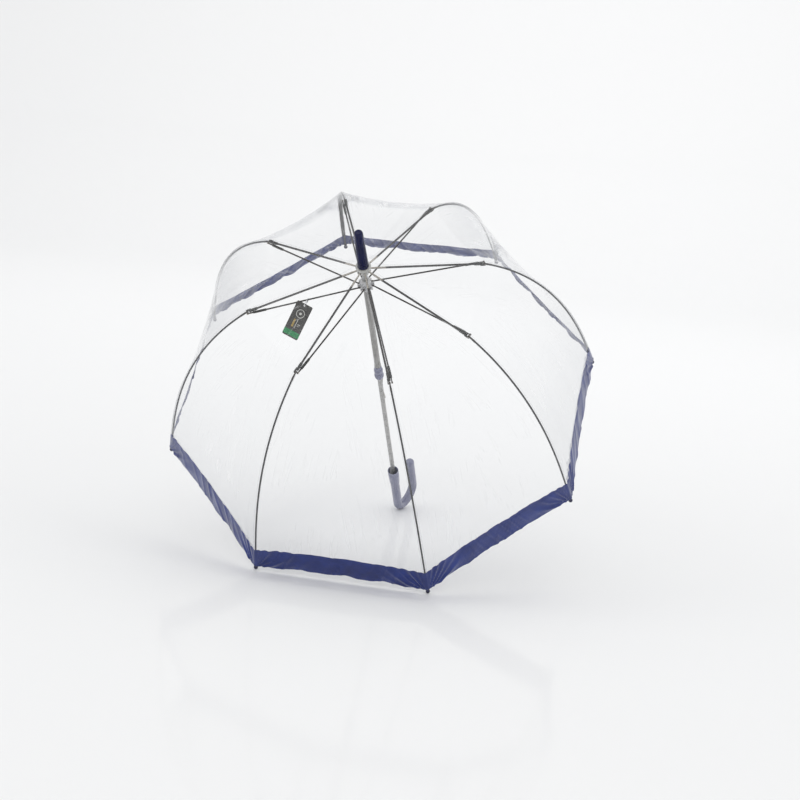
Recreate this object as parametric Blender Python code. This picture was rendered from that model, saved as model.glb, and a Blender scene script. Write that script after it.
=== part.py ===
"""Stick umbrella with a clear dome canopy, standing on the floor open: it rests on two rib tips and on the bend of its crook.

Everything is modelled about the umbrella's own axis (+Z towards the ferrule, z = 0 at the ring that the rib arms hinge on), under one
empty that leans the axis over. Ribs are numbered from 1; rib k lies in the half plane at FIRST_RIB + 45 * (k - 1) degrees about that axis.
"""
import math

import bmesh
import bpy
import numpy as np
from mathutils import Matrix, Vector

# ---- driving dimensions, metres and degrees -------------------------------------------------------------------------------------
LEAN = 44.84                # angle between the umbrella's axis and the vertical
RING_HEIGHT = 0.5713        # height of the crown's hinge ring above the floor
REST_Y = -0.2446            # places the object's box over the origin

RIBS = 8
FIRST_RIB = -157.5          # azimuth of rib 1 about the axis, in the leaned frame
RING_R = 0.0115             # radius of the ring that the arms hinge on
ARM_LENGTH = 0.2083         # hinge ring to connector pivot
ARM_SLOPE = 13.97           # degrees below the ring's plane when open
ARM_D = 0.0036
ROD_ARC = 0.4316            # length of the curved outer rod
ROD_START = 0.5061          # its slope angle below the ring's plane at the connector, radians
ROD_CURVE = 1.6072          # change of slope over its whole length, if it kept its first curvature
ROD_EASE = -0.7685          # how much of that change is lost as the curve eases off towards the tip
ROD_D = 0.0032
TIP_R = 0.0040              # ball of the tip cap

RUNNER_Z = -0.0413          # plane of the runner's hinge ring when open
RUNNER_RING_R = 0.0125      # radial place of the stretchers' hinge
STRETCHER_SIDE = 0.0044     # the stretchers run beside the arms, this far sideways
STRETCHER_D = 0.0028
RUNNER_TRAVEL = 0.362

SHAFT_D = 0.0090
SHAFT_WALL = 0.0005
SHAFT_TOP = 0.0700
SHAFT_BOTTOM = -0.7400
SLEEVE_D = 0.0120
SLEEVE_TOP = -0.0490
SLEEVE_BOTTOM = -0.2838
GRIP_TOP = -0.2842
GRIP_BOTTOM = -0.3210
GRIP_D = 0.0184
FERRULE_BASE = 0.0098
FERRULE_TOP = 0.0985

MOUTH_Z = -0.6510           # open end of the crook's cup, which takes the runner's grip when closed
MOUTH_D = 0.0222
CUP_D = 0.0194
CUP_DEPTH = 0.0370
CROOK_D = 0.0184
CROOK_WIDTH = 0.0570        # centre line to centre line
CROOK_TURN = 67.0           # azimuth that the hook points to
HOOK_END_Z = -0.6900

FILM_OFF = 0.0034           # film's middle surface above the ribs' centre lines
FILM_T = 0.0004
HEM_WIDTH = 0.0460
HEM_T = 0.0008
HEM_CLEAR = 0.0080          # from the tip's centre up the rib to the hem's lower edge
SCALLOP = 0.0020            # rise of the hem between two tips
GAP = 0.0003

TAG_W, TAG_H, TAG_T = 0.0305, 0.0660, 0.0006
TAG_AT = 0.465              # share of stretcher 1 where the loop hangs
TAG_LEAN = 22.0

lean = math.radians(LEAN)
slope = math.radians(ARM_SLOPE)
JOINT_R = RING_R + ARM_LENGTH * math.cos(slope)
JOINT_Z = -ARM_LENGTH * math.sin(slope)

for old in list(bpy.data.objects):
    bpy.data.objects.remove(old, do_unlink=True)


# ---- materials ------------------------------------------------------------------------------------------------------------------
def material(name, colour, rough, metal=0.0, alpha=1.0):
    m = bpy.data.materials.new(name)
    m.use_nodes = True
    b = m.node_tree.nodes["Principled BSDF"]
    b.inputs["Base Color"].default_value = (*colour, 1.0)
    b.inputs["Roughness"].default_value = rough
    b.inputs["Metallic"].default_value = metal
    b.inputs["Alpha"].default_value = alpha
    m.diffuse_color = (*colour, alpha)
    return m


NAVY = (0.012, 0.018, 0.085)
MAT = {
    "film": material("clear_film", (0.93, 0.95, 0.96), 0.08, 0.0, 0.25),
    "hem": material("navy_hem", (0.022, 0.035, 0.150), 0.55),
    "navy": material("navy_plastic", NAVY, 0.25),
    "tip": material("tip_plastic", (0.010, 0.012, 0.040), 0.30),
    "arm": material("dark_steel", (0.030, 0.030, 0.032), 0.35, 0.8),
    "rod": material("black_glass_fibre", (0.012, 0.012, 0.013), 0.40),
    "stretcher": material("stretcher_steel", (0.040, 0.040, 0.042), 0.35, 0.8),
    "joint": material("black_plastic", (0.015, 0.015, 0.016), 0.45),
    "shaft": material("grey_steel_tube", (0.42, 0.42, 0.41), 0.30, 0.9),
    "sleeve": material("grey_sleeve", (0.40, 0.40, 0.39), 0.38, 0.6),
    "crown": material("clear_crown_plastic", (0.78, 0.78, 0.76), 0.25),
    "runner": material("runner_plastic", (0.60, 0.60, 0.60), 0.35),
    "wire": material("tie_wire", (0.55, 0.55, 0.56), 0.30, 1.0),
    "spring": material("spring_steel", (0.60, 0.60, 0.61), 0.25, 1.0),
    "card": material("tag_card", (0.10, 0.11, 0.12), 0.60),
    "loop": material("tag_loop_plastic", (0.80, 0.80, 0.80), 0.40),
}


# ---- mesh helpers ---------------------------------------------------------------------------------------------------------------
def finish(bm, name, mat, smooth=40.0):
    bmesh.ops.recalc_face_normals(bm, faces=bm.faces)
    me = bpy.data.meshes.new(name)
    bm.to_mesh(me)
    bm.free()
    me.materials.append(MAT[mat])
    me.shade_smooth()
    me.set_sharp_from_angle(angle=math.radians(smooth))
    return me


def place(name, me, parent=None, at=(0, 0, 0), turn=(0, 0, 0)):
    ob = bpy.data.objects.new(name, me)
    bpy.context.collection.objects.link(ob)
    ob.parent = parent
    ob.location = at
    ob.rotation_euler = turn
    return ob


def rings_mesh(bm, rings, close_ends=True, loop=False):
    """Skin a list of rings of points (all the same count); the ends are filled with a fan or joined to each other."""
    vs = [[bm.verts.new(p) for p in ring] for ring in rings]
    n = len(vs[0])
    pairs = list(zip(vs[:-1], vs[1:])) + ([(vs[-1], vs[0])] if loop else [])
    for a, b in pairs:
        for i in range(n):
            bm.faces.new((a[i], a[(i + 1) % n], b[(i + 1) % n], b[i]))
    if close_ends and not loop:
        bm.faces.new(list(reversed(vs[0])))
        bm.faces.new(vs[-1])
    return vs


def circle(centre, u, v, r, n):
    return [centre + r * (math.cos(2 * math.pi * i / n) * u + math.sin(2 * math.pi * i / n) * v) for i in range(n)]


def turned(profile, n=24, loop=True):
    """A turned piece about Z. profile is (radius, height) points; a loop for a bored piece, or from axis to axis for a solid one."""
    bm = bmesh.new()
    X, Y = Vector((1, 0, 0)), Vector((0, 1, 0))
    if loop:
        rings_mesh(bm, [circle(Vector((0, 0, z)), X, Y, r, n) for r, z in profile], loop=True)
        return bm
    inner = profile[1:-1]
    vs = rings_mesh(bm, [circle(Vector((0, 0, z)), X, Y, r, n) for r, z in inner], close_ends=False)
    for ring, (r, z) in ((vs[0], profile[0]), (vs[-1], profile[-1])):
        c = bm.verts.new((0, 0, z))
        for i in range(n):
            bm.faces.new((ring[i], ring[(i + 1) % n], c))
    return bm


def tube(points, r, n=8, side=Vector((0, 1, 0))):
    """A round bar through points that lie in one plane, whose normal is side."""
    bm = bmesh.new()
    rings = []
    pts = [Vector(p) for p in points]
    radii = r if isinstance(r, (list, tuple)) else [r] * len(pts)
    for i, p in enumerate(pts):
        d = (pts[min(i + 1, len(pts) - 1)] - pts[max(i - 1, 0)]).normalized()
        rings.append(circle(p, side, d.cross(side).normalized(), radii[i], n))
    rings_mesh(bm, rings)
    return bm


def eye(centre, outer, inner, width, n=12):
    """A flat eye with its hole along Y."""
    bm = bmesh.new()
    X, Z = Vector((1, 0, 0)), Vector((0, 0, 1))
    c, h = Vector(centre), Vector((0, width / 2, 0))
    rings_mesh(bm, [circle(c - h, X, Z, outer, n), circle(c + h, X, Z, outer, n), circle(c + h, X, Z, inner, n), circle(c - h, X, Z, inner, n)], loop=True)
    return bm


def block(lo, hi):
    bm = bmesh.new()
    bmesh.ops.create_cube(bm, size=1.0)
    size, mid = Vector(hi) - Vector(lo), (Vector(hi) + Vector(lo)) / 2
    bmesh.ops.scale(bm, vec=size, verts=bm.verts)
    bmesh.ops.translate(bm, vec=mid, verts=bm.verts)
    return bm


def cylinder_y(centre, r, y0, y1, n=12):
    bm = bmesh.new()
    X, Z = Vector((1, 0, 0)), Vector((0, 0, 1))
    c = Vector(centre)
    rings_mesh(bm, [circle(Vector((c.x, y, c.z)), X, Z, r, n) for y in (y0, y1)])
    return bm


def torus(major, minor, z, n=48, m=8):
    bm = bmesh.new()
    rings = []
    for i in range(n):
        a = 2 * math.pi * i / n
        out = Vector((math.cos(a), math.sin(a), 0))
        rings.append(circle(out * major + Vector((0, 0, z)), out, Vector((0, 0, 1)), minor, m))
    rings_mesh(bm, rings, loop=True)
    return bm


def combine(base, steps, name, mat, smooth=40.0):
    """base is a bmesh; steps is a list of (operation, bmesh), made with exact Booleans one after another."""
    def scratch(bm, label):
        bmesh.ops.recalc_face_normals(bm, faces=bm.faces)
        me = bpy.data.meshes.new(label)
        bm.to_mesh(me)
        bm.free()
        ob = bpy.data.objects.new(label, me)
        bpy.context.collection.objects.link(ob)
        return ob

    main = scratch(base, name + "_stock")
    for i, (how, bm) in enumerate(steps):
        tool = scratch(bm, name + "_tool")
        mod = main.modifiers.new("cut%d" % i, "BOOLEAN")
        mod.operation, mod.solver, mod.object = how, "EXACT", tool
        bpy.context.view_layer.update()
        made = bpy.data.meshes.new_from_object(main.evaluated_get(bpy.context.evaluated_depsgraph_get()))
        main.modifiers.clear()
        main.data = made
        bpy.data.objects.remove(tool, do_unlink=True)
    me = main.data
    bpy.data.objects.remove(main, do_unlink=True)
    me.name = name
    me.materials.clear()
    me.materials.append(MAT[mat])
    for p in me.polygons:
        p.material_index = 0
    me.shade_smooth()
    me.set_sharp_from_angle(angle=math.radians(smooth))
    return me


# ---- the leaned axis ------------------------------------------------------------------------------------------------------------
axis = bpy.data.objects.new("umbrella_axis", None)
bpy.context.collection.objects.link(axis)
axis.location = (0.0, REST_Y, RING_HEIGHT)
axis.rotation_euler = (lean, 0.0, 0.0)


def azimuth(k):
    return math.radians(FIRST_RIB + 360.0 / RIBS * (k - 1))


def in_rib(k, r, t, z):
    """A point given radially, sideways and along the axis in rib k's plane."""
    a = azimuth(k)
    return (r * math.cos(a) - t * math.sin(a), r * math.sin(a) + t * math.cos(a), z)


# ---- rib profile ----------------------------------------------------------------------------------------------------------------
def rod_slope(s):
    f = s / ROD_ARC
    return ROD_START + ROD_CURVE * f + ROD_EASE * f * f


def rod_points(n, s0=0.0, s1=ROD_ARC):
    """(radius, height) along the outer rod, from its pivot, by summing its slope."""
    fine, r, z, at = 400, JOINT_R, JOINT_Z, [(0.0, JOINT_R, JOINT_Z)]
    for i in range(fine):
        s = (i + 0.5) * ROD_ARC / fine
        r += math.cos(rod_slope(s)) * ROD_ARC / fine
        z -= math.sin(rod_slope(s)) * ROD_ARC / fine
        at.append(((i + 1) * ROD_ARC / fine, r, z))
    at = np.array(at)
    want = np.linspace(s0, s1, n)
    return [(s, float(np.interp(s, at[:, 0], at[:, 1])), float(np.interp(s, at[:, 0], at[:, 2]))) for s in want]


# ---- shaft ----------------------------------------------------------------------------------------------------------------------
R, IN = SHAFT_D / 2, SHAFT_D / 2 - SHAFT_WALL
CATCH_TOP, CATCH_LOW = -0.3225, -0.3870      # shoulders of the upper and lower catch
STOP_Z = -0.0266
slot_up = block((0.0022, -0.0016, CATCH_TOP - 0.0230), (0.0060, 0.0016, CATCH_TOP + 0.0006))
slot_low = block((0.0022, -0.0016, CATCH_LOW - 0.0006), (0.0060, 0.0016, CATCH_LOW + 0.0230))
pin_hole = cylinder_y((0, 0, STOP_Z), 0.0013, -0.0070, 0.0070, 16)
shaft = combine(
    turned([(R, SHAFT_BOTTOM), (R, SHAFT_TOP), (IN, SHAFT_TOP), (IN, SHAFT_BOTTOM)], 20),
    [("DIFFERENCE", slot_up), ("DIFFERENCE", slot_low), ("DIFFERENCE", pin_hole)], "shaft_tube", "shaft")
place("shaft_tube", shaft, axis)

stop = bmesh.new()
rings_mesh(stop, [circle(Vector((0, y, STOP_Z)), Vector((1, 0, 0)), Vector((0, 0, 1)), r, 12)
                  for y, r in ((-0.0062, 0.0007), (-0.0059, 0.0010), (0.0059, 0.0010), (0.0062, 0.0007))])
place("stop_pin", finish(stop, "stop_pin", "spring"), axis)


def catch(name, shoulder, down):
    """A leaf wedge that stands out of its slot; the shoulder faces the runner and the ramp lets the runner ride over it."""
    s = -1.0 if down else 1.0
    out = [(0.0016, 0.0), (0.0068, 0.0), (0.0068, 0.0022), (0.0041, 0.0215), (0.0016, 0.0225)]
    bm = bmesh.new()
    ring = [[Vector((x, y, shoulder + s * z)) for x, z in out] for y in (-0.0012, 0.0012)]
    rings_mesh(bm, ring)
    return place(name, finish(bm, name, "spring", 20.0), axis)


catch("upper_catch", CATCH_TOP, True)
catch("lower_catch", CATCH_LOW, False)

# ---- crown, ferrule -------------------------------------------------------------------------------------------------------------
BORE = R + 0.0004
hub = turned([(BORE, -0.0080), (0.0082, -0.0080), (0.0086, -0.0076), (0.0086, 0.0044), (0.0130, 0.0044), (0.0135, 0.0049),
              (0.0135, 0.0070), (0.0130, 0.0075), (BORE, 0.0075)], 24)
steps = []
for k in range(RIBS):
    lug = block((0.0078, -0.0013, -0.0034), (0.0130, 0.0013, 0.0050))
    bmesh.ops.rotate(lug, cent=(0, 0, 0), matrix=Matrix.Rotation(azimuth(k + 1) + math.pi / RIBS, 3, "Z"), verts=lug.verts)
    steps.append(("UNION", lug))
steps.append(("DIFFERENCE", torus(RING_R, 0.00075, 0.0, 32, 6)))
place("crown_notch", combine(hub, steps, "crown_notch", "crown", 35.0), axis)
place("crown_wire", finish(torus(RING_R, 0.0004, 0.0, 32, 5), "crown_wire", "wire"), axis)
place("crown_washer", finish(turned([(R + 0.0007, 0.0079), (0.0134, 0.0079), (0.0138, 0.0083), (0.0134, 0.0088), (R + 0.0007, 0.0088)], 28),
                             "crown_washer", "crown"), axis)

fb, ft = FERRULE_BASE, FERRULE_TOP
ferrule_profile = [(0.0, 0.0740), (0.0030, 0.0740), (BORE, 0.0722), (BORE, fb), (0.0093, fb), (0.0100, fb + 0.0008), (0.0100, fb + 0.0040)]
for i in range(1, 3):
    f = i / 3
    ferrule_profile.append((0.0100 - 0.0021 * f, fb + 0.0040 + (ft - fb - 0.0120) * f))
for i in range(7):
    a = math.radians(90 * i / 6)
    ferrule_profile.append((0.0045 + 0.0034 * math.cos(a), ft - 0.0068 + 0.0068 * math.sin(a)))
ferrule_profile.append((0.0, ft))
ferrule_mesh = finish(turned(ferrule_profile, 22, loop=False), "ferrule", "navy")
place("ferrule", ferrule_mesh, axis)

# ---- rib arms, connectors, outer rods, tips, stretchers --------------------------------------------------------------------------
ca, sa = math.cos(slope), -math.sin(slope)
ARM_END = ARM_LENGTH - 0.0042


def on_arm(d, up=0.0):
    return (d * ca - up * sa, 0.0, d * sa + up * ca)


arm_mesh = combine(tube([on_arm(0.0016), on_arm(0.05), on_arm(0.1), on_arm(0.15), on_arm(ARM_END)], ARM_D / 2, 8),
                   [("UNION", eye((0, 0, 0), 0.0022, 0.00095, 0.0024))], "rib_arm", "arm")

# connector: a sleeve over the arm's end, one cheek beside the rod's knuckle, and the pin that the rod turns on
A = Vector((ca, 0, sa))
B = Vector((-sa, 0, ca))
Yv = Vector((0, 1, 0))


def sleeve_on_arm(d0, d1, ro, ri, n=10):
    bm = bmesh.new()
    rings = []
    for d, r in ((d0, ri), (d0, ro - 0.0004), (d0 + 0.0006, ro), (d1 - 0.0006, ro), (d1, ro - 0.0004), (d1, ri)):
        rings.append(circle(A * d, Yv, B, r, n))
    rings_mesh(bm, rings, loop=True)
    return bm


cheek = bmesh.new()
outline = [(-0.0075, -0.0021), (0.0000, -0.0024), (0.0017, -0.0017), (0.0024, 0.0000), (0.0017, 0.0017), (0.0000, 0.0024), (-0.0075, 0.0021)]
rings_mesh(cheek, [[A * (ARM_LENGTH + d) + B * h + Yv * y for d, h in outline] for y in (-0.0032, -0.0018)])
pivot = cylinder_y(tuple(A * ARM_LENGTH), 0.0008, -0.0025, 0.0021, 12)
connector_mesh = combine(sleeve_on_arm(ARM_LENGTH - 0.0190, ARM_LENGTH - 0.0036, 0.0026, ARM_D / 2 + 0.0003),
                         [("UNION", cheek), ("UNION", pivot)], "rib_connector", "joint", 35.0)

rod_line = rod_points(15, 0.0016, ROD_ARC - 0.0015)
rod_mesh = combine(tube([(r - JOINT_R, 0.0, z - JOINT_Z) for _, r, z in rod_line], ROD_D / 2, 6),
                   [("UNION", eye((0, 0, 0), 0.0023, 0.0011, 0.0030, 12))], "outer_rod", "rod")

_, tip_r, tip_z = rod_points(2)[1]
end_slope = rod_slope(ROD_ARC)
cap_profile = [(0.0, -0.0011), (ROD_D / 2 + GAP, -0.0011), (ROD_D / 2 + GAP, -0.0130), (0.0023, -0.0130), (0.0026, -0.0126), (0.0027, -0.0060), (0.0029, -0.0036)]
for i in range(1, 6):
    a = math.radians(-50 + 140 * i / 5)
    cap_profile.append((TIP_R * math.cos(a), TIP_R * math.sin(a)))
cap_profile[-1] = (0.0, TIP_R)
cap = turned(cap_profile, 10, loop=False)
turn = Matrix.Rotation(math.pi / 2 + end_slope, 3, "Y")
bmesh.ops.rotate(cap, cent=(0, 0, 0), matrix=turn, verts=cap.verts)
bmesh.ops.translate(cap, vec=(tip_r - JOINT_R, 0, tip_z - JOINT_Z), verts=cap.verts)
cap_mesh = finish(cap, "tip_cap", "tip")

reach = Vector((JOINT_R - RUNNER_RING_R, 0, JOINT_Z - RUNNER_Z))
STRETCHER_LENGTH = reach.length
sdir = reach.normalized()
stretcher_mesh = combine(
    tube([tuple(sdir * d) for d in (0.0014, 0.0700, 0.1350, STRETCHER_LENGTH - 0.0012)], STRETCHER_D / 2, 6),
    [("UNION", eye((0, 0, 0), 0.0021, 0.0011, 0.0020)), ("UNION", cylinder_y(tuple(reach), 0.0018, -0.0013, 0.0013, 10))], "stretcher", "stretcher")

for k in range(1, RIBS + 1):
    a = azimuth(k)
    place("rib_arm_%d" % k, arm_mesh, axis, in_rib(k, RING_R, 0, 0), (0, 0, a))
    place("rib_connector_%d" % k, connector_mesh, axis, in_rib(k, RING_R, 0, 0), (0, 0, a))
    place("outer_rod_%d" % k, rod_mesh, axis, in_rib(k, JOINT_R, 0, JOINT_Z), (0, 0, a))
    place("tip_cap_%d" % k, cap_mesh, axis, in_rib(k, JOINT_R, 0, JOINT_Z), (0, 0, a))
    place("stretcher_%d" % k, stretcher_mesh, axis, in_rib(k, RUNNER_RING_R, STRETCHER_SIDE, RUNNER_Z), (0, 0, a))

# ---- runner ---------------------------------------------------------------------------------------------------------------------
ring_true = math.hypot(RUNNER_RING_R, STRETCHER_SIDE)
head = turned([(BORE, -0.0280), (0.0078, -0.0280), (0.0090, -0.0290), (0.0095, -0.0310), (0.0095, -0.0452), (0.0112, -0.0462), (0.0112, -0.0480),
               (0.0106, -0.0486), (BORE, -0.0486)], 24)
steps = []
skew = math.atan2(STRETCHER_SIDE, RUNNER_RING_R)
for k in range(RIBS):
    lug = block((0.0088, -0.0012, -0.0458), (0.0150, 0.0012, -0.0378))
    bmesh.ops.rotate(lug, cent=(0, 0, 0), matrix=Matrix.Rotation(azimuth(k + 1) + math.pi / RIBS + skew, 3, "Z"), verts=lug.verts)
    steps.append(("UNION", lug))
steps.append(("DIFFERENCE", torus(ring_true, 0.00075, RUNNER_Z, 32, 6)))
place("runner_head", combine(head, steps, "runner_head", "runner", 35.0), axis)
place("runner_wire", finish(torus(ring_true, 0.0004, RUNNER_Z, 32, 5), "runner_wire", "wire"), axis)
SR = SLEEVE_D / 2
place("runner_sleeve", finish(turned([(BORE, SLEEVE_BOTTOM), (SR, SLEEVE_BOTTOM), (SR, SLEEVE_TOP), (BORE, SLEEVE_TOP)], 24), "runner_sleeve", "sleeve"), axis)

GR = GRIP_D / 2
grip_profile = [(BORE, GRIP_BOTTOM), (0.0062, GRIP_BOTTOM), (0.0070, GRIP_BOTTOM + 0.0010)]
for i in range(7):
    a = math.radians(-75 + 150 * i / 6)
    grip_profile.append((0.0062 + (GR - 0.0062) * math.cos(a), GRIP_BOTTOM + 0.0085 + 0.0075 * math.sin(a)))
for i in range(7):
    a = math.radians(-75 + 150 * i / 6)
    grip_profile.append((0.0062 + (GR - 0.0067) * math.cos(a), GRIP_BOTTOM + 0.0235 + 0.0068 * math.sin(a)))
grip_profile += [(0.0068, GRIP_TOP - 0.0030), (0.0066, GRIP_TOP), (BORE, GRIP_TOP)]
place("runner_grip", finish(turned(grip_profile, 20), "runner_grip", "navy"), axis)

# ---- crook handle: one moulding, swept from the bottom of its bore, up and over the mouth, and down round the hook --------------
h = Vector((math.cos(math.radians(CROOK_TURN)), math.sin(math.radians(CROOK_TURN)), 0.0))
n_side = Vector((-h.y, h.x, 0.0))
down = Vector((0, 0, -1))
CR, bend = CROOK_D / 2, CROOK_WIDTH / 2
# the bend's lowest point, seen in the leaned frame, rests on the floor
rise_h = h.y * math.sin(lean)
rise_z = math.cos(lean)
low = min(bend * rise_h * (1 - math.cos(a)) - bend * rise_z * math.sin(a) for a in [math.radians(0.25 * i) for i in range(720)])
BEND_Z = -(RING_HEIGHT + low - CR) / rise_z
NS = 16
rings = []


def level(z, r):
    rings.append(circle(Vector((0, 0, z)), h, n_side, r, NS))


for z, r in ((SHAFT_BOTTOM - 0.0015, BORE), (MOUTH_Z - CUP_DEPTH - 0.0030, BORE), (MOUTH_Z - CUP_DEPTH, 0.0075), (MOUTH_Z - CUP_DEPTH + 0.0030, CUP_D / 2),
             (MOUTH_Z - 0.0010, CUP_D / 2), (MOUTH_Z, CUP_D / 2 + 0.0005), (MOUTH_Z, MOUTH_D / 2 - 0.0005), (MOUTH_Z - 0.0010, MOUTH_D / 2),
             (MOUTH_Z - 0.0200, MOUTH_D / 2), (MOUTH_Z - 0.0390, MOUTH_D / 2 - 0.0006), (MOUTH_Z - 0.0520, CR + 0.0004), (MOUTH_Z - 0.0700, CR)):
    level(z, r)
level(BEND_Z + 0.0300, CR)
centre = h * bend + Vector((0, 0, BEND_Z))
for i in range(0, 15):
    a = math.radians(180 * i / 14)
    out = h * (-math.cos(a)) + down * math.sin(a)
    rings.append(circle(centre + out * bend, -out, n_side, CR, NS))
for z in (HOOK_END_Z - 0.0500, HOOK_END_Z - 0.0200):
    rings.append(circle(h * CROOK_WIDTH + Vector((0, 0, z)), -h, n_side, CR, NS))
for i in range(1, 5):
    a = math.radians(90 * i / 5)
    rings.append(circle(h * CROOK_WIDTH + Vector((0, 0, HOOK_END_Z - 0.0075 + 0.0075 * math.sin(a))), -h, n_side, CR * math.cos(a) ** 0.6, NS))
crook = bmesh.new()
rings_mesh(crook, rings)
place("handle_crook", finish(crook, "handle_crook", "navy"), axis)

# ---- canopy: clear film and hem, each one sheet given its thickness ---------------------------------------------------------------
ACROSS = 2                  # columns per gore
film_rib = [(0.0, 0.0056, 0.0093), (0.0, 0.0155, 0.0093)]
for d in (0.040, 0.095, 0.150, 0.200):
    film_rib.append((0.0, RING_R + d * ca + FILM_OFF * -sa, d * sa + FILM_OFF * ca))
mid = (slope + ROD_START) / 2
film_rib.append((0.0, JOINT_R + (FILM_OFF + GAP) * math.sin(mid), JOINT_Z + (FILM_OFF + GAP) * math.cos(mid)))
HEM_END = ROD_ARC - HEM_CLEAR
HEM_START = HEM_END - HEM_WIDTH


def film_point(s, off=FILM_OFF):
    _, r, z = rod_points(2, 0.0, s)[1]
    return (s, r + off * math.sin(rod_slope(s)), z + off * math.cos(rod_slope(s)))


for i in range(1, 11):
    film_rib.append(film_point((HEM_START - 0.0004) * i / 10))
hem_rib = [film_point(HEM_START + 0.0004 + (HEM_WIDTH - 0.0004) * i / 3) for i in range(4)]


def sheet(rows, name, mat, thick):
    """rows are rib-line points; each gore spans straight between its two ribs, with the rows rising between them towards the hem."""
    bm = bmesh.new()
    lines = []
    arc = np.array([(s, r, z) for s, r, z in rod_points(120)])
    for s, r, z in rows:
        line = []
        for k in range(1, RIBS + 1):
            for j in range(ACROSS):
                v = j / ACROSS
                lift = SCALLOP * 4 * v * (1 - v) * max(0.0, min(1.0, (s - 0.10) / 0.20))
                if lift > 0:
                    _, rr, zz = film_point(s - lift)
                else:
                    rr, zz = r, z
                a = Vector(in_rib(k, rr, 0, zz))
                b = Vector(in_rib(k + 1, rr, 0, zz))
                line.append(bm.verts.new(a.lerp(b, v)))
        lines.append(line)
    n = len(lines[0])
    for a, b in zip(lines[:-1], lines[1:]):
        for i in range(n):
            bm.faces.new((a[i], b[i], b[(i + 1) % n], a[(i + 1) % n]))
    me = bpy.data.meshes.new(name)
    bm.normal_update()
    bm.to_mesh(me)
    bm.free()
    me.materials.append(MAT[mat])
    me.shade_smooth()
    me.set_sharp_from_angle(angle=math.radians(25))
    ob = place(name, me, axis)
    mod = ob.modifiers.new("thickness", "SOLIDIFY")
    mod.thickness, mod.offset, mod.use_even_offset, mod.use_rim = thick, 0.0, True, True
    return ob


sheet(film_rib, "canopy_film", "film", FILM_T)
sheet(hem_rib, "canopy_hem", "hem", HEM_T)

# ---- swing tag: a card on a plastic loop over stretcher 1 -------------------------------------------------------------------------
to_leaned = Matrix.Rotation(-lean, 3, "X")
hang = Vector(in_rib(1, RUNNER_RING_R, STRETCHER_SIDE, RUNNER_Z)) + Vector(in_rib(1, reach.x, 0, reach.z)) * TAG_AT
tl = math.radians(TAG_LEAN)
d_tag = to_leaned @ Vector((-math.sin(tl), 0, -math.cos(tl)))
w_tag = to_leaned @ Vector((math.cos(tl), 0, -math.sin(tl)))
n_tag = d_tag.cross(w_tag).normalized()
LOOP_R, LOOP_T = 0.0072, 0.0005
LOOP_DROP = 0.0046          # the loop's centre hangs below the stretcher's centre line

loop = bmesh.new()
ring = []
for i in range(20):
    a = 2 * math.pi * i / 20
    out = d_tag * math.cos(a) + n_tag * math.sin(a)
    ring.append(circle(d_tag * LOOP_DROP + out * LOOP_R, out, w_tag, LOOP_T, 6))
rings_mesh(loop, ring, loop=True)
place("tag_loop", finish(loop, "tag_loop", "loop"), axis, tuple(hang))

CARD_TOP = LOOP_DROP + LOOP_R - 0.0036
HOLE_R = 0.0016


def card_point(w, d, n):
    return w_tag * w + d_tag * d + n_tag * n


card = bmesh.new()
rings_mesh(card, [[card_point(w, d, n) for w, d in ((-TAG_W / 2 + 0.002, CARD_TOP), (TAG_W / 2 - 0.002, CARD_TOP), (TAG_W / 2, CARD_TOP + 0.002),
                                                   (TAG_W / 2, CARD_TOP + TAG_H - 0.002), (TAG_W / 2 - 0.002, CARD_TOP + TAG_H),
                                                   (-TAG_W / 2 + 0.002, CARD_TOP + TAG_H), (-TAG_W / 2, CARD_TOP + TAG_H - 0.002), (-TAG_W / 2, CARD_TOP + 0.002))]
                  for n in (-TAG_T / 2, TAG_T / 2)])
hole = bmesh.new()
rings_mesh(hole, [[card_point(HOLE_R * math.cos(2 * math.pi * i / 12), LOOP_DROP + LOOP_R + HOLE_R * math.sin(2 * math.pi * i / 12), n) for i in range(12)]
                  for n in (-0.002, 0.002)])
place("swing_tag", combine(card, [("DIFFERENCE", hole)], "swing_tag", "card"), axis, tuple(hang))

bpy.context.view_layer.update()
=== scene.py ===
"""Looks of the clear dome umbrella: fine surfaces for every piece, the film and its satin hem, the studio and the camera."""
import math

import bmesh
import bpy
import numpy as np
from mathutils import Matrix, Vector


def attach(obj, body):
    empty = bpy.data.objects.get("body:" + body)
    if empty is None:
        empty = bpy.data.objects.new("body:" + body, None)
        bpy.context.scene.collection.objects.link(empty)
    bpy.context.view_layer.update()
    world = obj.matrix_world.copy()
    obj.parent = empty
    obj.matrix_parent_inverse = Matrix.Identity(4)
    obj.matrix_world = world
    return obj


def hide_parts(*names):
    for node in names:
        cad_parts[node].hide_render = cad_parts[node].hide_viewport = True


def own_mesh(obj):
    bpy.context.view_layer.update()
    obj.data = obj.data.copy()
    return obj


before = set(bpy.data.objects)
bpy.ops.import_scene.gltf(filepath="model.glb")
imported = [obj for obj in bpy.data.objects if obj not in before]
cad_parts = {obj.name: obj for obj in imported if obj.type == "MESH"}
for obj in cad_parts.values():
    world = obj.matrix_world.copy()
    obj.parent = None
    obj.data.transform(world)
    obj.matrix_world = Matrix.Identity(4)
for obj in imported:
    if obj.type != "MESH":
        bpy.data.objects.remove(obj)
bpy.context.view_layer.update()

rng = np.random.default_rng(7)

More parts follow.
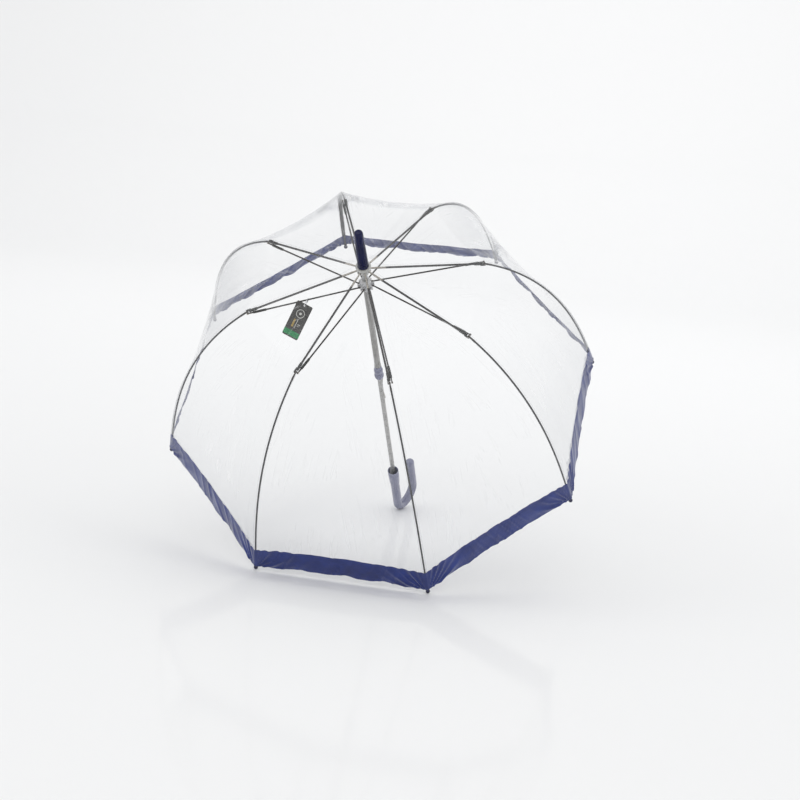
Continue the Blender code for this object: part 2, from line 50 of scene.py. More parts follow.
# ---- sizes shared with the CAD model, metres ------------------------------------------------------------------------------------
LEAN = math.radians(44.84)
RING_HEIGHT, REST_Y = 0.5713, -0.2446
RIBS, FIRST_RIB = 8, -157.5
RING_R, ARM_LENGTH, SLOPE, ARM_D = 0.0115, 0.2083, math.radians(13.97), 0.0036
ROD_ARC, ROD_START, ROD_CURVE, ROD_EASE, ROD_D, TIP_R = 0.4316, 0.5061, 1.6072, -0.7685, 0.0032, 0.0040
RUNNER_Z, RUNNER_RING_R, STRETCHER_SIDE, STRETCHER_D = -0.0413, 0.0125, 0.0044, 0.0028
SHAFT_D, SHAFT_WALL, SHAFT_TOP, SHAFT_BOTTOM = 0.0090, 0.0005, 0.0700, -0.7400
SLEEVE_D, SLEEVE_TOP, SLEEVE_BOTTOM = 0.0120, -0.0490, -0.2838
GRIP_TOP, GRIP_BOTTOM, GRIP_D = -0.2842, -0.3210, 0.0184
FERRULE_BASE, FERRULE_TOP = 0.0098, 0.0985
MOUTH_Z, MOUTH_D, CUP_D, CUP_DEPTH = -0.6510, 0.0222, 0.0194, 0.0370
CROOK_D, CROOK_WIDTH, CROOK_TURN, HOOK_END_Z = 0.0184, 0.0570, 67.0, -0.6900
FILM_OFF, HEM_WIDTH, HEM_CLEAR, SCALLOP = 0.0034, 0.0460, 0.0080, 0.0020
TAG_W, TAG_H, TAG_T, TAG_AT, TAG_LEAN = 0.0305, 0.0660, 0.0006, 0.465, math.radians(22.0)
CATCH_TOP, CATCH_LOW, STOP_Z = -0.3225, -0.3870, -0.0266
JOINT_R = RING_R + ARM_LENGTH * math.cos(SLOPE)
JOINT_Z = -ARM_LENGTH * math.sin(SLOPE)
BORE = SHAFT_D / 2 + 0.0004
ca, sa = math.cos(SLOPE), -math.sin(SLOPE)
TO_WORLD = Matrix.Translation((0, REST_Y, RING_HEIGHT)) @ Matrix.Rotation(LEAN, 4, "X")
X, Y, Z = Vector((1, 0, 0)), Vector((0, 1, 0)), Vector((0, 0, 1))


def azimuth(k):
    return math.radians(FIRST_RIB + 360.0 / RIBS * (k - 1))


def rib_matrix(k, r=0.0, t=0.0, z=0.0):
    return TO_WORLD @ Matrix.Rotation(azimuth(k), 4, "Z") @ Matrix.Translation((r, t, z))


# ---- materials ------------------------------------------------------------------------------------------------------------------
def new_material(name):
    m = bpy.data.materials.new(name)
    m.use_nodes = True
    nt = m.node_tree
    nt.nodes.clear()
    out = nt.nodes.new("ShaderNodeOutputMaterial")
    return m, nt, out


def node(nt, kind, **values):
    n = nt.nodes.new(kind)
    for key, v in values.items():
        if hasattr(n, key):
            setattr(n, key, v)
        else:
            n.inputs[key.replace("_", " ")].default_value = v
    return n


def ramp(nt, stops):
    n = nt.nodes.new("ShaderNodeValToRGB")
    e = n.color_ramp.elements
    while len(e) < len(stops):
        e.new(0.5)
    for el, (at, c) in zip(e, stops):
        el.position = at
        el.color = (*c, 1.0) if len(c) == 3 else c
    return n


def lin(r, g, b):
    return tuple((c / 255 / 12.92) if c / 255 <= 0.04045 else ((c / 255 + 0.055) / 1.055) ** 2.4 for c in (r, g, b))


def surface(name, dark, light, rough=(0.3, 0.45), metal=0.0, scale=40.0, stretch=(1, 1, 1), fine=900.0, bump=0.08, depth=0.00008,
            spec=0.5, coat=0.0, coat_rough=0.1, wear=None, sheen=0.0):
    """A moulded, painted or metal surface: slow colour variation, fine grain in roughness and bump, and paler worn edges."""
    m, nt, out = new_material(name)
    b = node(nt, "ShaderNodeBsdfPrincipled")
    b.inputs["Metallic"].default_value = metal
    b.inputs["Specular IOR Level"].default_value = spec
    b.inputs["Coat Weight"].default_value = coat
    b.inputs["Coat Roughness"].default_value = coat_rough
    b.inputs["Sheen Weight"].default_value = sheen
    at = node(nt, "ShaderNodeTexCoord")
    mp = nt.nodes.new("ShaderNodeMapping")
    mp.inputs["Scale"].default_value = stretch
    nt.links.new(at.outputs["Object"], mp.inputs["Vector"])
    slow = node(nt, "ShaderNodeTexNoise", Scale=scale, Detail=5.0, Roughness=0.6)
    nt.links.new(mp.outputs[0], slow.inputs["Vector"])
    tint = ramp(nt, [(0.30, dark), (0.72, light)])
    nt.links.new(slow.outputs["Fac"], tint.inputs[0])
    colour = tint.outputs[0]
    if wear:
        geo = nt.nodes.new("ShaderNodeNewGeometry")
        edge = ramp(nt, [(0.52, (0, 0, 0)), (0.62, (1, 1, 1))])
        nt.links.new(geo.outputs["Pointiness"], edge.inputs[0])
        mix = nt.nodes.new("ShaderNodeMix")
        mix.data_type = "RGBA"
        mix.inputs[7].default_value = (*wear, 1.0)
        scaled = nt.nodes.new("ShaderNodeMath")
        scaled.operation = "MULTIPLY"
        scaled.inputs[1].default_value = 0.55
        nt.links.new(edge.outputs[0], scaled.inputs[0])
        nt.links.new(scaled.outputs[0], mix.inputs[0])
        nt.links.new(colour, mix.inputs[6])
        colour = mix.outputs[2]
    nt.links.new(colour, b.inputs["Base Color"])
    grain = node(nt, "ShaderNodeTexNoise", Scale=fine, Detail=3.0, Roughness=0.55)
    nt.links.new(mp.outputs[0], grain.inputs["Vector"])
    r = nt.nodes.new("ShaderNodeMapRange")
    r.inputs["From Min"].default_value, r.inputs["From Max"].default_value = 0.3, 0.7
    r.inputs["To Min"].default_value, r.inputs["To Max"].default_value = rough
    both = nt.nodes.new("ShaderNodeMath")
    both.operation = "MULTIPLY_ADD"
    both.inputs[1].default_value = 0.5
    half = nt.nodes.new("ShaderNodeMath")
    half.operation = "MULTIPLY"
    half.inputs[1].default_value = 0.5
    nt.links.new(slow.outputs["Fac"], half.inputs[0])
    nt.links.new(grain.outputs["Fac"], both.inputs[0])
    nt.links.new(half.outputs[0], both.inputs[2])
    nt.links.new(both.outputs[0], r.inputs["Value"])
    nt.links.new(r.outputs[0], b.inputs["Roughness"])
    bp = node(nt, "ShaderNodeBump", Strength=bump, Distance=depth)
    nt.links.new(grain.outputs["Fac"], bp.inputs["Height"])
    nt.links.new(bp.outputs[0], b.inputs["Normal"])
    nt.links.new(b.outputs[0], out.inputs[0])
    return m


def film_material_with_painted_glare(name, veil, edge, tint, grey, rough=0.06, ripple_and_painted_glare=1.0):
    """Clear soft plastic sheet: see-through, greyer where it is seen edge on, with long faint ripples that catch the
    light, and painted glare: patches of fine streaks whitened in colour and made more opaque, a painted highlight.
    """
    m, nt, out = new_material(name)
    uv = node(nt, "ShaderNodeTexCoord")
    mp = nt.nodes.new("ShaderNodeMapping")
    mp.inputs["Scale"].default_value = (26.0, 5.0, 1.0)
    mp.inputs["Rotation"].default_value = (0.0, 0.0, 0.35)
    nt.links.new(uv.outputs["UV"], mp.inputs["Vector"])
    ripple = node(nt, "ShaderNodeTexNoise", Scale=1.0, Detail=3.0, Roughness=0.5, Distortion=0.8)
    nt.links.new(mp.outputs[0], ripple.inputs["Vector"])
    bp = node(nt, "ShaderNodeBump", Strength=0.35 * ripple_and_painted_glare, Distance=0.004)
    nt.links.new(ripple.outputs["Fac"], bp.inputs["Height"])
    fine_map = nt.nodes.new("ShaderNodeMapping")
    fine_map.inputs["Scale"].default_value = (110.0, 9.0, 1.0)
    fine_map.inputs["Rotation"].default_value = (0.0, 0.0, 0.12)
    nt.links.new(uv.outputs["UV"], fine_map.inputs["Vector"])
    fine = node(nt, "ShaderNodeTexNoise", Scale=1.0, Detail=2.0, Roughness=0.5, Distortion=0.5)
    nt.links.new(fine_map.outputs[0], fine.inputs["Vector"])
    # painted glare: the patch mask times the fine line mask gives streaks that whiten the haze colour, painted
    # highlights standing in for the lights' glare on the film
    patch = node(nt, "ShaderNodeTexNoise", Scale=11.0, Detail=1.0)
    nt.links.new(uv.outputs["UV"], patch.inputs["Vector"])
    where = ramp(nt, [(0.46, (0, 0, 0)), (0.60, (1, 1, 1))])
    nt.links.new(patch.outputs["Fac"], where.inputs[0])
    glare_line = ramp(nt, [(0.0, (0, 0, 0)), (0.56, (0, 0, 0)), (0.62, (1, 1, 1)), (0.68, (0.1, 0.1, 0.1)), (1.0, (0, 0, 0))])
    nt.links.new(fine.outputs["Fac"], glare_line.inputs[0])
    streak = nt.nodes.new("ShaderNodeMath")
    streak.operation = "MULTIPLY"
    nt.links.new(where.outputs[0], streak.inputs[0])
    nt.links.new(glare_line.outputs[0], streak.inputs[1])
    bp2 = node(nt, "ShaderNodeBump", Strength=0.10 * ripple_and_painted_glare, Distance=0.0010)
    nt.links.new(fine.outputs["Fac"], bp2.inputs["Height"])
    nt.links.new(bp.outputs[0], bp2.inputs["Normal"])
    clear = node(nt, "ShaderNodeBsdfTransparent")
    clear.inputs["Color"].default_value = (*tint, 1.0)
    haze = node(nt, "ShaderNodeBsdfPrincipled")
    haze.inputs["Roughness"].default_value = 0.45
    haze.inputs["Specular IOR Level"].default_value = 0.3
    body = node(nt, "ShaderNodeTexNoise", Scale=9.0, Detail=2.0)
    nt.links.new(uv.outputs["Object"], body.inputs["Vector"])
    shade = ramp(nt, [(0.35, grey), (0.65, tuple(min(1.0, c * 1.12) for c in grey))])
    nt.links.new(body.outputs["Fac"], shade.inputs[0])
    white = nt.nodes.new("ShaderNodeMix")
    white.data_type = "RGBA"
    nt.links.new(streak.outputs[0], white.inputs[0])
    nt.links.new(shade.outputs[0], white.inputs[6])
    white.inputs[7].default_value = (0.97, 0.975, 0.98, 1.0)
    nt.links.new(white.outputs[2], haze.inputs["Base Color"])
    gloss = node(nt, "ShaderNodeBsdfGlossy", Roughness=rough)
    gloss.inputs["Color"].default_value = (1.0, 1.0, 1.0, 1.0)
    nt.links.new(bp2.outputs[0], gloss.inputs["Normal"])
    lw = node(nt, "ShaderNodeLayerWeight", Blend=0.5)
    facing = nt.nodes.new("ShaderNodeMath")
    facing.operation = "POWER"
    facing.inputs[1].default_value = 4.0
    nt.links.new(lw.outputs["Facing"], facing.inputs[0])
    a1 = nt.nodes.new("ShaderNodeMath")
    a1.operation = "MULTIPLY_ADD"
    a1.inputs[1].default_value = edge
    a1.inputs[2].default_value = veil
    nt.links.new(facing.outputs[0], a1.inputs[0])
    # painted glare: the streaks also add opacity, so the painted white highlight shows over the see-through film
    a2 = nt.nodes.new("ShaderNodeMath")
    a2.operation = "MULTIPLY_ADD"
    a2.inputs[1].default_value = 0.16 * ripple_and_painted_glare
    nt.links.new(streak.outputs[0], a2.inputs[0])
    nt.links.new(a1.outputs[0], a2.inputs[2])
    mixed = nt.nodes.new("ShaderNodeMixShader")
    nt.links.new(a2.outputs[0], mixed.inputs[0])
    nt.links.new(clear.outputs[0], mixed.inputs[1])
    nt.links.new(haze.outputs[0], mixed.inputs[2])
    fr = node(nt, "ShaderNodeFresnel", IOR=1.30)
    nt.links.new(bp2.outputs[0], fr.inputs["Normal"])
    top = nt.nodes.new("ShaderNodeMixShader")
    nt.links.new(fr.outputs[0], top.inputs[0])
    nt.links.new(mixed.outputs[0], top.inputs[1])
    nt.links.new(gloss.outputs[0], top.inputs[2])
    nt.links.new(top.outputs[0], out.inputs[0])
    return m


def satin_material(name, deep, lit):
    """Woven satin in UV metres: fine diagonal weave in bump, slow streaks along the weft, and a soft sheen."""
    m, nt, out = new_material(name)
    b = node(nt, "ShaderNodeBsdfPrincipled")
    b.inputs["Sheen Weight"].default_value = 0.55
    b.inputs["Sheen Roughness"].default_value = 0.35
    b.inputs["Specular IOR Level"].default_value = 0.45
    uv = node(nt, "ShaderNodeTexCoord")
    mp = nt.nodes.new("ShaderNodeMapping")
    mp.inputs["Scale"].default_value = (1.0, 1.0, 1.0)
    nt.links.new(uv.outputs["UV"], mp.inputs["Vector"])
    st = nt.nodes.new("ShaderNodeMapping")
    st.inputs["Scale"].default_value = (60.0, 900.0, 1.0)
    nt.links.new(uv.outputs["UV"], st.inputs["Vector"])
    slub = node(nt, "ShaderNodeTexNoise", Scale=1.0, Detail=4.0, Roughness=0.6)
    nt.links.new(st.outputs[0], slub.inputs["Vector"])
    slow = node(nt, "ShaderNodeTexNoise", Scale=28.0, Detail=3.0)
    nt.links.new(mp.outputs[0], slow.inputs["Vector"])
    add = nt.nodes.new("ShaderNodeMath")
    add.operation = "MULTIPLY_ADD"
    add.inputs[1].default_value = 0.45
    nt.links.new(slub.outputs["Fac"], add.inputs[0])
    half = nt.nodes.new("ShaderNodeMath")
    half.operation = "MULTIPLY"
    half.inputs[1].default_value = 0.55
    nt.links.new(slow.outputs["Fac"], half.inputs[0])
    nt.links.new(half.outputs[0], add.inputs[2])
    tint = ramp(nt, [(0.34, deep), (0.66, lit)])
    nt.links.new(add.outputs[0], tint.inputs[0])
    nt.links.new(tint.outputs[0], b.inputs["Base Color"])
    weave = node(nt, "ShaderNodeTexWave", wave_type="BANDS", bands_direction="DIAGONAL", Scale=700.0, Distortion=0.4, Detail=1.0)
    nt.links.new(mp.outputs[0], weave.inputs["Vector"])
    cross = node(nt, "ShaderNodeTexWave", wave_type="BANDS", bands_direction="Y", Scale=520.0, Distortion=0.3)
    nt.links.new(mp.outputs[0], cross.inputs["Vector"])
    mul = nt.nodes.new("ShaderNodeMath")
    mul.operation = "MULTIPLY"
    nt.links.new(weave.outputs["Fac"], mul.inputs[0])
    nt.links.new(cross.outputs["Fac"], mul.inputs[1])
    r = nt.nodes.new("ShaderNodeMapRange")
    r.inputs["To Min"].default_value, r.inputs["To Max"].default_value = 0.30, 0.44
    nt.links.new(mul.outputs[0], r.inputs["Value"])
    nt.links.new(r.outputs[0], b.inputs["Roughness"])
    bp = node(nt, "ShaderNodeBump", Strength=0.25, Distance=0.00012)
    nt.links.new(mul.outputs[0], bp.inputs["Height"])
    nt.links.new(bp.outputs[0], b.inputs["Normal"])
    nt.links.new(b.outputs[0], out.inputs[0])
    return m


MAT = {
    "film": film_material_with_painted_glare("clear_film", 0.03, 0.90, (0.985, 0.988, 0.99), (0.45, 0.465, 0.50), rough=0.16),
    "seam": film_material_with_painted_glare("film_seam", 0.04, 0.30, (0.985, 0.987, 0.99), (0.66, 0.68, 0.71), rough=0.2, ripple_and_painted_glare=0.2),
    "weld": film_material_with_painted_glare("weld_line", 0.16, 0.35, (0.97, 0.975, 0.98), (0.56, 0.58, 0.61), rough=0.2, ripple_and_painted_glare=0.2),
    "hem": satin_material("navy_satin", lin(18, 32, 92), lin(36, 56, 130)),
    "thread": surface("navy_thread", lin(30, 40, 96), lin(62, 76, 140), rough=(0.55, 0.75), scale=300.0, fine=3000.0, sheen=0.4),
    "navy": surface("navy_gloss_plastic", lin(7, 12, 46), lin(12, 19, 68), rough=(0.16, 0.26), scale=25.0, fine=500.0, bump=0.03, spec=0.22, coat=0.05,
                    coat_rough=0.06, wear=lin(70, 76, 130)),
    # painted glare: this dark navy plastic is given a pale grey-lavender colour that stands in for glare and
    # overexposure on the crook and the runner grip
    "handle": surface("navy_handle_plastic_painted_glare", lin(110, 112, 137), lin(134, 136, 159), rough=(0.16, 0.28), scale=22.0, fine=420.0, bump=0.04, coat=0.35,
                      coat_rough=0.10, wear=lin(138, 142, 170)),
    "tip": surface("tip_navy_plastic", lin(10, 12, 44), lin(22, 25, 66), rough=(0.22, 0.34), scale=120.0, bump=0.05, coat=0.2, wear=lin(70, 74, 110)),
    "arm": surface("dark_bronze_steel", lin(24, 21, 19), lin(44, 38, 34), rough=(0.26, 0.42), metal=0.45, scale=160.0, stretch=(1, 1, 1), fine=1500.0,
                   wear=lin(120, 110, 100)),
    "bare": surface("bare_nickel_steel", lin(150, 143, 132), lin(196, 190, 180), rough=(0.18, 0.32), metal=0.95, scale=140.0, fine=1800.0,
                    wear=lin(220, 216, 208)),
    "fibre": surface("black_glass_fibre", lin(14, 12, 12), lin(28, 24, 23), rough=(0.30, 0.46), scale=240.0, stretch=(1, 1, 1), fine=2400.0, bump=0.12),
    "strut": surface("dark_stretcher_steel", lin(26, 23, 21), lin(52, 45, 40), rough=(0.26, 0.40), metal=0.5, scale=180.0, fine=1500.0,
                     wear=lin(130, 122, 114)),
    "joint": surface("olive_black_plastic", lin(26, 26, 22), lin(40, 40, 34), rough=(0.36, 0.52), scale=150.0, fine=1600.0, bump=0.10,
                     wear=lin(84, 84, 76)),
    "shaft": surface("grey_steel_tube", lin(150, 149, 147), lin(184, 183, 180), rough=(0.22, 0.34), metal=0.8, scale=90.0, fine=1400.0,
                     wear=lin(190, 190, 190)),
    "sleeve": surface("grey_lacquer_sleeve", lin(140, 139, 136), lin(168, 167, 164), rough=(0.26, 0.38), metal=0.45, scale=70.0, fine=1200.0,
                      wear=lin(190, 190, 194)),
    "crown": surface("pale_crown_plastic", lin(196, 196, 192), lin(224, 224, 220), rough=(0.18, 0.30), scale=120.0, fine=1300.0, coat=0.3,
                     wear=lin(240, 240, 236)),
    "runner": surface("grey_runner_plastic", lin(196, 196, 198), lin(222, 222, 223), rough=(0.22, 0.36), scale=120.0, fine=1300.0, coat=0.2,
                      wear=lin(214, 214, 214)),
    "wire": surface("tie_wire", lin(150, 150, 152), lin(196, 196, 198), rough=(0.2, 0.3), metal=1.0, scale=300.0, fine=2500.0),
    "spring": surface("spring_steel", lin(150, 148, 144), lin(200, 198, 194), rough=(0.16, 0.28), metal=1.0, scale=200.0, fine=2200.0,
                      wear=lin(230, 230, 226)),
    "card": surface("tag_card", lin(58, 57, 55), lin(74, 73, 70), rough=(0.45, 0.6), scale=200.0, fine=2600.0, bump=0.15),
    "card_green": surface("tag_green_print", lin(26, 132, 76), lin(40, 156, 94), rough=(0.42, 0.56), scale=200.0, fine=2600.0),
    "card_gold": surface("tag_gold_print", lin(168, 140, 66), lin(198, 170, 92), rough=(0.34, 0.46), scale=200.0, fine=2600.0),
    "card_white": surface("tag_white_print", lin(214, 214, 208), lin(232, 232, 228), rough=(0.45, 0.58), scale=200.0, fine=2600.0),
    "loop": surface("tag_loop_plastic", lin(196, 198, 200), lin(228, 230, 232), rough=(0.22, 0.34), scale=400.0, fine=2500.0),
}


# ---- mesh helpers ---------------------------------------------------------------------------------------------------------------
def circle(centre, u, v, r, n):
    return [centre + r * (math.cos(2 * math.pi * i / n) * u + math.sin(2 * math.pi * i / n) * v) for i in range(n)]


def skin(bm, rings, loop=False, ends=True, mat=None):
    """Joins rings of points into a surface. mat gives a material slot for each band between two rings."""
    vs = [[bm.verts.new(p) for p in ring] for ring in rings]
    n = len(vs[0])
    pairs = list(zip(vs[:-1], vs[1:])) + ([(vs[-1], vs[0])] if loop else [])
    for q, (a, b) in enumerate(pairs):
        for i in range(n):
            f = bm.faces.new((a[i], a[(i + 1) % n], b[(i + 1) % n], b[i]))
            if mat:
                f.material_index = mat[q]
    if ends and not loop:
        for ring, flip in ((vs[0], True), (vs[-1], False)):
            c = sum((v.co for v in ring), Vector()) / n
            mid = bm.verts.new(c)
            for i in range(n):
                p, q = ring[i], ring[(i + 1) % n]
                f = bm.faces.new((q, p, mid) if flip else (p, q, mid))
                if mat:
                    f.material_index = mat[0] if flip else mat[-1]
    return vs


def turned(profile, n=48, loop=True, mat=None):
    bm = bmesh.new()
    if loop:
        skin(bm, [circle(Vector((0, 0, z)), X, Y, max(r, 1e-5), n) for r, z in profile], loop=True, mat=mat)
    else:
        skin(bm, [circle(Vector((0, 0, z)), X, Y, max(r, 1e-4), n) for r, z in profile], mat=mat)
    return bm


def round_profile(points, radius=0.0003, steps=3):
    """Rounds every corner of a closed profile of (r, z) points by about radius."""
    out = []
    n = len(points)
    for i in range(n):
        p, a, b = (Vector(points[j % n]) for j in (i, i - 1, i + 1))
        da, db = (a - p), (b - p)
        la, lb = min(radius, da.length * 0.45), min(radius, db.length * 0.45)
        s, e = p + da.normalized() * la, p + db.normalized() * lb
        for j in range(steps + 1):
            t = j / steps
            q = s * (1 - t) ** 2 + p * 2 * t * (1 - t) + e * t * t
            out.append((q.x, q.y))
    return out


def tube(points, radii, n=16, side=None, mat=None, squash=None):
    """A round bar along points. side is the normal of the plane they lie in; squash gives (across, up) factors per point."""
    bm = bmesh.new()
    pts = [Vector(p) for p in points]
    radii = radii if isinstance(radii, (list, tuple)) else [radii] * len(pts)
    rings, u = [], None
    for i, p in enumerate(pts):
        d = (pts[min(i + 1, len(pts) - 1)] - pts[max(i - 1, 0)]).normalized()
        if side is not None:
            u = side
        elif u is None:
            u = d.orthogonal().normalized()
        else:
            u = (u - d * u.dot(d)).normalized()
        v = d.cross(u).normalized()
        fu, fv = squash[i] if squash else (1.0, 1.0)
        rings.append(circle(p, u * fu, v * fv, radii[i], n))
    skin(bm, rings, mat=mat)
    return bm


def capped(points, r, n=16, side=None, cap=None):
    """A tube whose ends are rounded off."""
    pts = [Vector(p) for p in points]
    cap = cap or r
    a, b = (pts[1] - pts[0]).normalized(), (pts[-1] - pts[-2]).normalized()
    head = [(pts[0] + a * cap * (1 - math.sin(t)), r * math.cos(t)) for t in (1.5, 1.2, 0.8, 0.4)]
    tail = [(pts[-1] - b * cap * (1 - math.sin(t)), r * math.cos(t)) for t in (0.4, 0.8, 1.2, 1.5)]
    inner = [(p, r) for p in pts[1:-1]] if len(pts) > 2 else []
    seq = head + [(pts[0] + a * cap, r)] + [q for q in inner if (q[0] - pts[0]).length > cap and (q[0] - pts[-1]).length > cap] + [(pts[-1] - b * cap, r)] + tail
    return tube([p for p, _ in seq], [q for _, q in seq], n, side)


def eye(centre, outer, inner, width, n=28, bevel=0.0002):
    """A flat eye with its hole along Y and rounded rims."""
    bm = bmesh.new()
    c, h = Vector(centre), width / 2
    prof = [(outer, -h + bevel), (outer - bevel, -h), (inner + bevel, -h), (inner, -h + bevel), (inner, h - bevel), (inner + bevel, h), (outer - bevel, h), (outer, h - bevel)]
    skin(bm, [circle(c + Y * y, X, Z, r, n) for r, y in prof], loop=True)
    return bm


def pin(centre, r, y0, y1, head=0.0, n=20):
    """A rivet along Y, with domed heads when head is given."""
    c = Vector(centre)
    if head:
        rows = [(r * 0.3, y0 - head), (r * 1.25, y0 - head * 0.8), (r * 1.7, y0 - head * 0.35), (r * 1.75, y0), (r, y0), (r, y1), (r * 1.75, y1), (r * 1.7, y1 + head * 0.35),
                (r * 1.25, y1 + head * 0.8), (r * 0.3, y1 + head)]
    else:
        rows = [(r * 0.8, y0), (r, y0 + r * 0.2), (r, y1 - r * 0.2), (r * 0.8, y1)]
    bm = bmesh.new()
    skin(bm, [circle(Vector((c.x, c.y + y, c.z)), X, Z, q, n) for q, y in rows])
    return bm


def torus(major, minor, z, n=96, m=12):
    bm = bmesh.new()
    rings = []
    for i in range(n):
        a = 2 * math.pi * i / n
        out = Vector((math.cos(a), math.sin(a), 0))
        rings.append(circle(out * major + Vector((0, 0, z)), out, Z, minor, m))
    skin(bm, rings, loop=True)
    return bm


def box(lo, hi, bevel=0.0003, segments=2):
    bm = bmesh.new()
    bmesh.ops.create_cube(bm, size=1.0)
    bmesh.ops.scale(bm, vec=Vector(hi) - Vector(lo), verts=bm.verts)
    bmesh.ops.translate(bm, vec=(Vector(hi) + Vector(lo)) / 2, verts=bm.verts)
    if bevel:
        bmesh.ops.bevel(bm, geom=list(bm.edges), offset=bevel, segments=segments, profile=0.6, affect="EDGES")
    return bm


def moved(bm, matrix):
    bmesh.ops.transform(bm, matrix=matrix, verts=bm.verts)
    return bm


def joined(parts):
    """One bmesh from (bmesh, material slot) pairs; a slot of None keeps the faces' own slots."""
    whole = bmesh.new()
    for bm, slot in parts:
        bmesh.ops.recalc_face_normals(bm, faces=bm.faces)
        if slot is not None:
            for f in bm.faces:
                f.material_index = slot
        me = bpy.data.meshes.new("scratch")
        bm.to_mesh(me)
        bm.free()
        whole.from_mesh(me)
        bpy.data.meshes.remove(me)
    return whole


def piece(name, bm, mats, matrix=None, body="root", smooth=35.0, replaces=()):
    if matrix is not None:
        bmesh.ops.transform(bm, matrix=matrix, verts=bm.verts)
    me = bpy.data.meshes.new(name)
    bm.to_mesh(me)
    bm.free()
    for m in mats:
        me.materials.append(MAT[m])
    me.shade_smooth()
    me.set_sharp_from_angle(angle=math.radians(smooth))
    ob = bpy.data.objects.new(name, me)
    bpy.context.collection.objects.link(ob)
    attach(ob, body)
    if replaces:
        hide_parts(*replaces)
    return ob


def cut(bm, cutters):
    """The bmesh with each cutter taken out of it by an exact Boolean."""
    def scratch(b, label):
        bmesh.ops.recalc_face_normals(b, faces=b.faces)
        me = bpy.data.meshes.new(label)
        b.to_mesh(me)
        b.free()
        ob = bpy.data.objects.new(label, me)
        bpy.context.collection.objects.link(ob)
        return ob
    main = scratch(bm, "stock")
    for c in cutters:
        tool = scratch(c, "cutter")
        mod = main.modifiers.new("cut", "BOOLEAN")
        mod.operation, mod.solver, mod.object = "DIFFERENCE", "EXACT", tool
        bpy.context.view_layer.update()
        made = bpy.data.meshes.new_from_object(main.evaluated_get(bpy.context.evaluated_depsgraph_get()))
        main.modifiers.clear()
        main.data = made
        bpy.data.objects.remove(tool, do_unlink=True)
    out = bmesh.new()
    out.from_mesh(main.data)
    bpy.data.objects.remove(main, do_unlink=True)
    return out


# ---- the rib's line -------------------------------------------------------------------------------------------------------------
def rod_slope(s):
    f = s / ROD_ARC
    return ROD_START + ROD_CURVE * f + ROD_EASE * f * f


def rod_table(fine=800):
    r, z, out = JOINT_R, JOINT_Z, [(0.0, JOINT_R, JOINT_Z)]
    for i in range(fine):
        s = (i + 0.5) * ROD_ARC / fine
        r += math.cos(rod_slope(s)) * ROD_ARC / fine
        z -= math.sin(rod_slope(s)) * ROD_ARC / fine
        out.append(((i + 1) * ROD_ARC / fine, r, z))
    return np.array(out)


ROD = rod_table()


def rod_at(s):
    return float(np.interp(s, ROD[:, 0], ROD[:, 1])), float(np.interp(s, ROD[:, 0], ROD[:, 2]))


# ---- camera ---------------------------------------------------------------------------------------------------------------------
cam_data = bpy.data.cameras.new("camera")
cam = bpy.data.objects.new("camera", cam_data)
bpy.context.collection.objects.link(cam)
cam.matrix_world = Matrix(((0.978316, -0.116532, 0.171226, 0.55119), (0.189608, 0.171224, -0.966815, -2.88567), (0.083347, 0.978316, 0.189607, 0.86717), (0, 0, 0, 1)))
cam_data.lens, cam_data.sensor_width = 70.036, 36.0
cam_data.clip_end = 60.0
bpy.context.scene.camera = cam

# ---- studio ---------------------------------------------------------------------------------------------------------------------
bpy.context.scene.view_settings.view_transform = "Standard"
sweep = bmesh.new()
prof = [(-9.0, 0.0)] + [(y, 0.0) for y in (-4.0, -2.0, 0.0, 2.0, 4.5)]
for i in range(1, 17):
    t = math.radians(90 * i / 16)
    prof.append((4.5 + 2.5 * math.sin(t), 2.5 - 2.5 * math.cos(t)))
prof.append((7.0, 9.0))
cols = [[sweep.verts.new((x, y, z - 0.0002)) for y, z in prof] for x in (-9.0, -3.0, 3.0, 9.0)]
for a, b in zip(cols[:-1], cols[1:]):
    for i in range(len(prof) - 1):
        sweep.faces.new((a[i], b[i], b[i + 1], a[i + 1]))
me = bpy.data.meshes.new("studio_floor")
sweep.to_mesh(me)
sweep.free()
me.shade_smooth()
floor = bpy.data.objects.new("studio_floor", me)
bpy.context.collection.objects.link(floor)
fm, nt, out = new_material("studio_paper")
b = node(nt, "ShaderNodeBsdfDiffuse")
shine = node(nt, "ShaderNodeBsdfGlossy", Roughness=0.09)
shine.inputs["Color"].default_value = (1, 1, 1, 1)
both = nt.nodes.new("ShaderNodeMixShader")
both.inputs[0].default_value = 0.055
n = node(nt, "ShaderNodeTexNoise", Scale=3.0, Detail=3.0)
c = ramp(nt, [(0.3, (0.875, 0.88, 0.885)), (0.7, (0.89, 0.893, 0.897))])
nt.links.new(n.outputs["Fac"], c.inputs[0])
nt.links.new(c.outputs[0], b.inputs["Color"])
nt.links.new(b.outputs[0], both.inputs[1])
nt.links.new(shine.outputs[0], both.inputs[2])
nt.links.new(both.outputs[0], out.inputs[0])
me.materials.append(fm)

world = bpy.data.worlds.new("studio_world")
bpy.context.scene.world = world
world.use_nodes = True
bg = world.node_tree.nodes["Background"]
bg.inputs[0].default_value = (1.0, 1.0, 1.0, 1.0)
bg.inputs[1].default_value = 0.895


def area(name, at, to, size, power, size_y=None):
    d = bpy.data.lights.new(name, "AREA")
    d.shape = "RECTANGLE"
    d.size, d.size_y, d.energy = size, size_y or size, power
    o = bpy.data.objects.new(name, d)
    bpy.context.collection.objects.link(o)
    o.location = at
    o.rotation_euler = (Vector(to) - Vector(at)).to_track_quat("-Z", "Y").to_euler()
    return o


